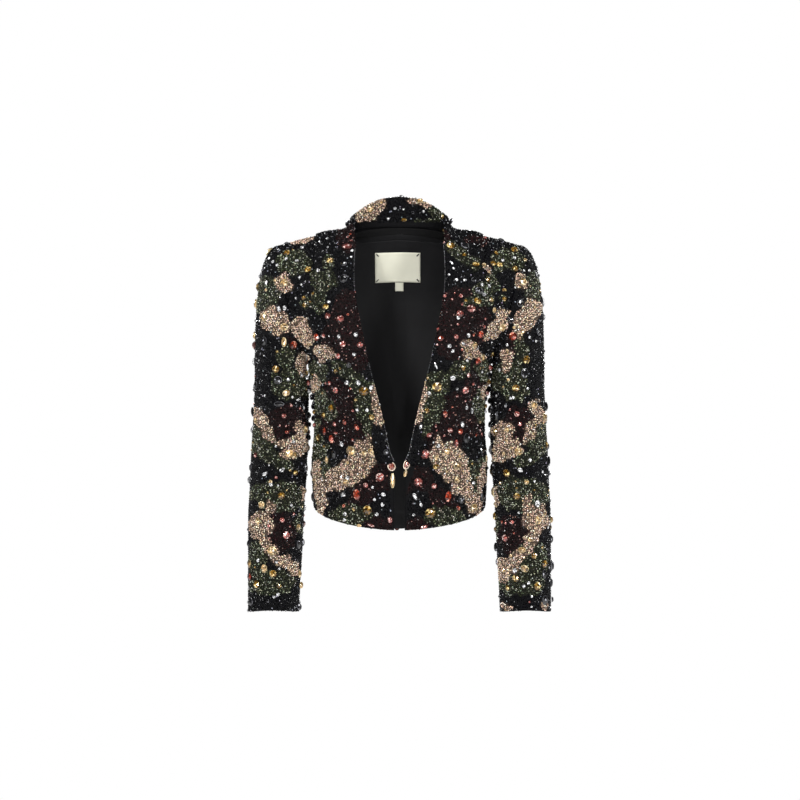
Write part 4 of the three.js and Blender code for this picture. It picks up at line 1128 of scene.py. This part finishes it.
def build_stones(name, chosen):
    """The chosen stones as one piece, and their settings as another."""
    glass, glass_tint, metal, metal_tint = [], [], [], []
    for kind in GEM:
        mine = [s for s in chosen if s[0] == kind]
        if not mine:
            continue
        points, normals, width, height, turns = (np.array([s[n] for s in mine]) for n in range(1, 6))
        normals = unit(normals + random.normal(scale=0.07, size=normals.shape))
        across, up = frames(normals, turns)
        triangles, setting = stone_template(kind)

        def placed(template):
            x = template[None, ..., 0:1] * across[:, None, None] * width[:, None, None, None] / 2
            y = template[None, ..., 1:2] * up[:, None, None] * height[:, None, None, None] / 2
            deep = np.minimum(width, height) * STONE_DEPTH
            z = template[None, ..., 2:3] * normals[:, None, None] * deep[:, None, None, None]
            return x + y + z + (points + normals * STONE_RAISED)[:, None, None]

        body = placed(triangles)
        glass.append(body.reshape(-1, 3))
        tone = facet_colours(kind, len(mine), len(triangles))
        glass_tint.append(np.repeat(tone.reshape(-1, 3), 3, axis=0))
        rim = placed(setting)
        metal.append(rim.reshape(-1, 3))
        metal_tint.append(np.tile(RIM[kind], (rim.size // 3, 1)))
    made = []
    for label, parts, tints, material in (
        ("stones", glass, glass_tint, stone_glass), ("settings", metal, metal_tint, rim_metal),
    ):
        if parts:
            points = np.concatenate(parts)
            faces = np.arange(len(points)).reshape(-1, 3)
            piece = new_mesh(
                f"{name}_{label}", points, faces, np.concatenate(tints), [material], smooth=False)
            made.append(piece)
    return made


# Seed beads

def by_zone(table, zone):
    """The table's entry for the colour at each point."""
    return np.array([table[kind] for kind in range(4)])[zone]


def spaced_out(points, spacing):
    """Which of the points to keep so that they lie about spacing apart."""
    cells = np.floor(points / spacing).astype(np.int64)
    middle = ((points / spacing - cells - 0.5) ** 2).sum(1)
    order = np.argsort(middle)
    key = (cells[order] * CELL_KEY).sum(1)
    _, first = np.unique(key, return_index=True)
    return order[first]


def roll_beads():
    """Places along the rolled edge of the lapels, their outward directions and their kinds."""
    crest, inner, outer = (sections[:, ROLL["column"] + step] for step in (0, -2, 2))
    out = unit(crest - (inner + outer) / 2)
    along = length_along(crest)
    at = np.arange(0, along[-1], ROLL["spacing"])
    points, out = values_at(at, along, crest), values_at(at, along, out)
    kept = (points[:, 2] > ROLL["low"]) & (points[:, 2] < ROLL["high"]) & (points[:, 1] < 0)
    out = unit(out[kept])
    points = points[kept] - out * SUNK
    return points, out, zone_from_front(pictured(points)[0])


def seam_beads(cloth):
    """A row of beads round the sleeve's upper edge, over its seam with the body."""
    ring = np.concatenate([cloth.grid[-1], cloth.grid[-1][:1]])
    out = np.concatenate([cloth.normals[-1], cloth.normals[-1][:1]])
    along = length_along(ring)
    at = np.arange(0, along[-1], SEAM_BEADS)
    return values_at(at, along, ring), unit(values_at(at, along, out))


def bead_colours(zone, on_roll):
    """Each bead's colour: uneven, some of them dark and some with a glint; on the black part of the roll a
    painted highlight.
    """
    amount = len(zone)
    light = np.exp(random.normal(scale=0.5, size=(amount, 1)))
    light = np.where(random.random((amount, 1)) < by_zone(DARK_SHARE, zone)[:, None], 0.2, light)
    glint = random.random((amount, 1)) < by_zone(GLINT_SHARE, zone)[:, None]
    strength = random.uniform(0.3, 1.2, (amount, 1))
    tone = np.where(glint, by_zone(GLINT, zone) * strength, by_zone(BEAD, zone) * light)
    # painted highlight: the roll's beads where it is black take a pale tone that stands for light along its
    # edge
    tone = np.where((on_roll & (zone == BLACK))[:, None], np.array(ROLL["tone"]) * strength, tone)
    tone *= 1 + random.normal(scale=0.06, size=(amount, 3))
    return np.clip(tone, 0, 0.95)


def build_beads(cloth):
    """The beads of a panel as one piece. Each is a four-sided point that leans a little."""
    count = int(cloth.cell_areas().sum() / BEADS["spacing"] ** 2 * BEADS["tries"])
    points, normals = cloth.at(*cloth.scattered(count))
    keep = ~covered(cloth, points, normals)
    points, normals = points[keep], normals[keep]
    chosen = spaced_out(points, BEADS["spacing"])
    points, normals = points[chosen], normals[chosen]
    tree = tree_of(taken)
    clear = np.ones(len(points), bool)
    for index, point in enumerate(points):
        for _, stone, distance in tree.find_range(point, BEADS["look"]):
            if distance < taken_radius[stone] * BEADS["clear"]:
                clear[index] = False
                break
    points, normals = points[clear], normals[clear]
    if cloth.round:
        seam_points, seam_out = seam_beads(cloth)
        points, normals = np.concatenate([points, seam_points]), np.concatenate([normals, seam_out])
    zone = zones(points, normals)
    on_roll = np.zeros(len(points), bool)
    if cloth.name == "collar":
        roll_points, roll_out, roll_zone = roll_beads()
        points, normals = np.concatenate([points, roll_points]), np.concatenate([normals, roll_out])
        zone = np.concatenate([zone, roll_zone])
        on_roll = np.concatenate([on_roll, np.ones(len(roll_points), bool)])
    amount = len(points)
    tone = bead_colours(zone, on_roll)
    lean = unit(normals + random.normal(scale=0.2, size=normals.shape))
    across, up = frames(lean, random.uniform(0, 90, amount))
    radius = random.uniform(BEADS["smallest"], BEADS["largest"], (amount, 1))
    corners = [points + (across * a + up * b) * radius for a, b in ((1, 0), (0, 1), (-1, 0), (0, -1))]
    peak = points + lean * radius * BEADS["peak"]
    shape = np.stack(corners + [peak], axis=1).reshape(-1, 3)
    base = np.arange(amount)[:, None] * 5
    faces = np.concatenate([base + [k, (k + 1) % 4, 4] for k in range(4)])
    # seen from outside the corners must turn left, so that the beads face out
    faces = faces[:, [1, 0, 2]]
    colour = np.repeat(tone, 5, axis=0)
    piece = new_mesh(f"{cloth.name}_beads", shape, faces, colour, [bead_glass], smooth=False)
    return piece


# Panels as pieces, each with its beads and stones

SEWN_TO = {
    "left_front": ["back", "collar"], "right_front": ["back", "collar"],
    "back": ["left_front", "right_front", "collar"],
    "left_sleeve": ["left_front", "back"], "right_sleeve": ["right_front", "back"],
    "collar": ["left_front", "right_front", "back"],
}
cloths = {}
decorated = []
for owner, cloth in enumerate(panels):
    flat_points = cloth.grid.reshape(-1, 3)
    flat_normals = cloth.normals.reshape(-1, 3)
    zone = zones(flat_points, flat_normals)
    tint = by_zone(GROUND, zone)
    tint[covered(cloth, flat_points, flat_normals)] = GROUND[BLACK]
    piece = cloth.shell(WALL, ground_cloth, lining_cloth, tint, edge_cloth)
    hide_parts(cloth.name)
    cloths[cloth.name] = piece
    on_it = [build_beads(cloth)] + build_stones(cloth.name, [s for s in stones if s[6] == owner])
    decorated.append((cloth, piece, on_it))

for cloth, piece, on_it in decorated:
    beside = [cloths[name] for name in SEWN_TO[cloth.name]]
    cloth.declared(piece, "hung", beside, on_it)

for name, large in closure_stones.items():
    stone, _ = build_stones(name, [large])
    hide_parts(name)


# Lining, neck strip and labels inside the back

def inner_grid(v, half, columns):
    """The surface inside the back's wall, as far as this share of it to each side."""
    grid = back_surface(np.linspace(half, -half, columns), v)
    return grid - grid_normals(grid) * LINING_DEPTH


def lining_grid():
    """The lining, with the seam of its yoke, the tuck under the neck strip and the back pleat."""
    seam = np.linspace(YOKE["row"] - YOKE["near"], YOKE["row"] + YOKE["near"], 14)
    v = np.sort(np.concatenate([np.linspace(*LINING_ROWS, 110), seam]))
    grid = inner_grid(v, LINING_HALF, 81)
    grid[..., 1] += YOKE["ridge"] * np.exp(-(((v - YOKE["row"]) / YOKE["width"]) ** 2))[:, None]
    grid[..., 1] += TUCK["depth"] * np.clip((v - TUCK["row"]) / TUCK["over"], 0, 1)[:, None]
    fold = (np.abs(grid[..., 0]) - PLEAT["at"]) / PLEAT["width"]
    grid[..., 1] -= PLEAT["depth"] * np.exp(-fold ** 2)
    return grid


def plain_cloth(name, grid, material):
    """A plain black sheet on the inside of the back."""
    cloth = Cloth(name, grid)
    piece = cloth.shell(LINING, material, material, np.tile(GROUND[BLACK], (grid.size // 3, 1)))
    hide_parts(name)
    cloth.declared(piece, "hung", [cloths["back"]])
    return piece


lining_piece = plain_cloth("back_lining", lining_grid(), lining_cloth)
strip_rows = np.linspace(NECK_STRIP["low"], NECK_STRIP["high"], 10)
plain_cloth("neck_facing", inner_grid(strip_rows, NECK_STRIP["half"], 61), edge_cloth)

fine_back = back_surface(np.linspace(0.5, -0.5, 401), np.linspace(8, len(BACK_ROWS), 601))
fine_back_n = grid_normals(fine_back)


def on_lining(x, z, depth):
    """The point on the back's inside at x and z, so deep under its outer face."""
    middle = fine_back.shape[1] // 2
    i = np.argmin(np.abs(fine_back[:, middle, 2] - z))
    j = np.argmin(np.abs(fine_back[i, :, 0] - x))
    return fine_back[i, j] - fine_back_n[i, j] * depth


def label_piece(name, x, width, top, bottom, columns, rows, bow):
    """A bare woven label that bows out a little between its sides."""
    grid = np.zeros((rows, columns, 3))
    for i in range(rows):
        for j in range(columns):
            a, b = j / (columns - 1), i / (rows - 1)
            depth = LABEL_DEPTH + bow * math.sin(math.pi * a)
            grid[i, j] = on_lining(x + width * (0.5 - a), bottom + (top - bottom) * b, depth)
    cloth = Cloth(name, grid)
    piece = cloth.shell(LABEL_THICK, label_cloth, label_cloth, np.tile(GROUND[TAN], (rows * columns, 1)))
    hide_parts(name)
    return piece, cloth


label, label_form = label_piece("label", **LABEL, columns=25, rows=17, bow=LABEL_BOW)
tab, tab_form = label_piece("size_tab", **TAB, columns=7, rows=8, bow=TAB_BOW)


# Slanting stitches of black thread that hold the label's corners

BLOCK_FACES = [(3, 2, 1, 0), (4, 5, 6, 7), (0, 1, 5, 4), (1, 2, 6, 5), (2, 3, 7, 6), (3, 0, 4, 7)]


def tack_corners(side, end):
    """The eight corners of the stitch at one corner of the label."""
    centre_x = LABEL["x"] + side * (LABEL["width"] / 2 - TACK["in"])
    centre_z = (LABEL["top"] + LABEL["bottom"]) / 2
    centre_z += end * ((LABEL["top"] - LABEL["bottom"]) / 2 - TACK["in"])
    way = np.array([side, end]) / math.sqrt(2)
    beside = np.array([-way[1], way[0]])
    corners = []
    for level in (TACK["sunk"], -TACK["thick"]):
        for a, b in ((-1, -1), (1, -1), (1, 1), (-1, 1)):
            dx, dz = way * a * TACK["long"] / 2 + beside * b * TACK["wide"] / 2
            across = 0.5 - (centre_x + dx - LABEL["x"]) / LABEL["width"]
            deep = LABEL_DEPTH + SUNK + LABEL_THICK + LABEL_BOW * math.sin(math.pi * across)
            corners.append(on_lining(centre_x + dx, centre_z + dz, deep) + [0, level, 0])
    return corners


tack_points, tack_faces = [], []
for side in (-1, 1):
    for end in (-1, 1):
        tack_faces += [[len(tack_points) + corner for corner in face] for face in BLOCK_FACES]
        tack_points += tack_corners(side, end)
tacks = new_mesh("label_tacks", tack_points, tack_faces, materials=[thread_black], smooth=False)
label_form.declared(label, "laid", [lining_piece], [tacks])
tab_form.declared(tab, "hung", [label])


# Camera, light, floor

# Round lights, all turned to the middle of the jacket: place and diameter in metres, and watts.
LIT = Vector((0, 0, -0.28))
LIGHTS = {
    "key": ((-1.2, -2.6, 1.2), 0.5, 62),
    "fill": ((1.6, -2.5, 0.5), 0.6, 42),
    "top": ((0.1, -0.7, 2.2), 0.7, 24),
    "low": ((0.2, -3.0, -0.9), 0.5, 15),
    "spark_left": ((-0.5, -3.4, 0.2), 0.1, 11),
    "spark_right": ((0.6, -3.4, 0.6), 0.1, 11),
    "rim_left": ((-2.2, 1.0, 0.7), 0.6, 24),
    "rim_right": ((2.2, 1.0, 0.7), 0.6, 24),
    "behind_left": ((-0.9, 2.8, 1.0), 0.5, 35),
    "behind_right": ((1.2, 2.6, 0.3), 0.5, 25),
}
FLOOR = {"half": 9, "z": -1.0}

camera_data = bpy.data.cameras.new("camera")
camera_data.sensor_width = SENSOR
camera_data.lens = SENSOR * DISTANCE / (PICTURE * SCALE)
camera_data.clip_end = 60
camera = bpy.data.objects.new("camera", camera_data)
camera.location = Vector(CAMERA_AT * MM)
camera.rotation_mode = "QUATERNION"
camera.rotation_quaternion = Vector(-CAMERA_BACK).to_track_quat("-Z", "Y")
bpy.context.scene.collection.objects.link(camera)
bpy.context.scene.camera = camera


def area_light(name, at, size, power):
    data = bpy.data.lights.new(name, "AREA")
    data.shape = "DISK"
    data.size = size
    data.energy = power
    light = bpy.data.objects.new(name, data)
    light.location = at
    light.rotation_mode = "QUATERNION"
    light.rotation_quaternion = (LIT - light.location).to_track_quat("-Z", "Y")
    bpy.context.scene.collection.objects.link(light)


for name, (at, size, power) in LIGHTS.items():
    area_light(name, at, size, power)


def camera_only(tree, seen, unseen, output):
    """What the camera sees directly is the first shader; light comes from the second."""
    rays = tree.nodes.new("ShaderNodeLightPath")
    mixed = tree.nodes.new("ShaderNodeMixShader")
    tree.links.new(rays.outputs["Is Camera Ray"], mixed.inputs["Fac"])
    tree.links.new(unseen, mixed.inputs[1])
    tree.links.new(seen, mixed.inputs[2])
    tree.links.new(mixed.outputs[0], output)


world = bpy.data.worlds.new("studio")
world.use_nodes = True
bpy.context.scene.world = world
tree = world.node_tree
dim = tree.nodes["Background"]
dim.inputs["Color"].default_value = (0.96, 0.98, 1.0, 1)
dim.inputs["Strength"].default_value = 0.07
white = tree.nodes.new("ShaderNodeBackground")
white.inputs["Color"].default_value = (1, 1, 1, 1)
camera_only(tree, white.outputs[0], dim.outputs[0], tree.nodes["World Output"].inputs["Surface"])

half, height = FLOOR["half"], FLOOR["z"]
floor_mesh = bpy.data.meshes.new("floor")
floor_mesh.from_pydata(
    [(-half, -half, height), (half, -half, height), (half, half, height), (-half, half, height)],
    [], [(0, 1, 2, 3)])
floor = bpy.data.objects.new("floor", floor_mesh)
floor_material, floor_shader = principled("floor_paint", 0.9)
floor_shader.inputs["Base Color"].default_value = (0.9, 0.9, 0.9, 1)
tree = floor_material.node_tree
bright = tree.nodes.new("ShaderNodeEmission")
bright.inputs["Color"].default_value = (1, 1, 1, 1)
camera_only(tree, bright.outputs[0], floor_shader.outputs[0],
            tree.nodes["Material Output"].inputs["Surface"])
floor_mesh.materials.append(floor_material)
bpy.context.scene.collection.objects.link(floor)
bpy.context.scene.view_settings.view_transform = "Standard"
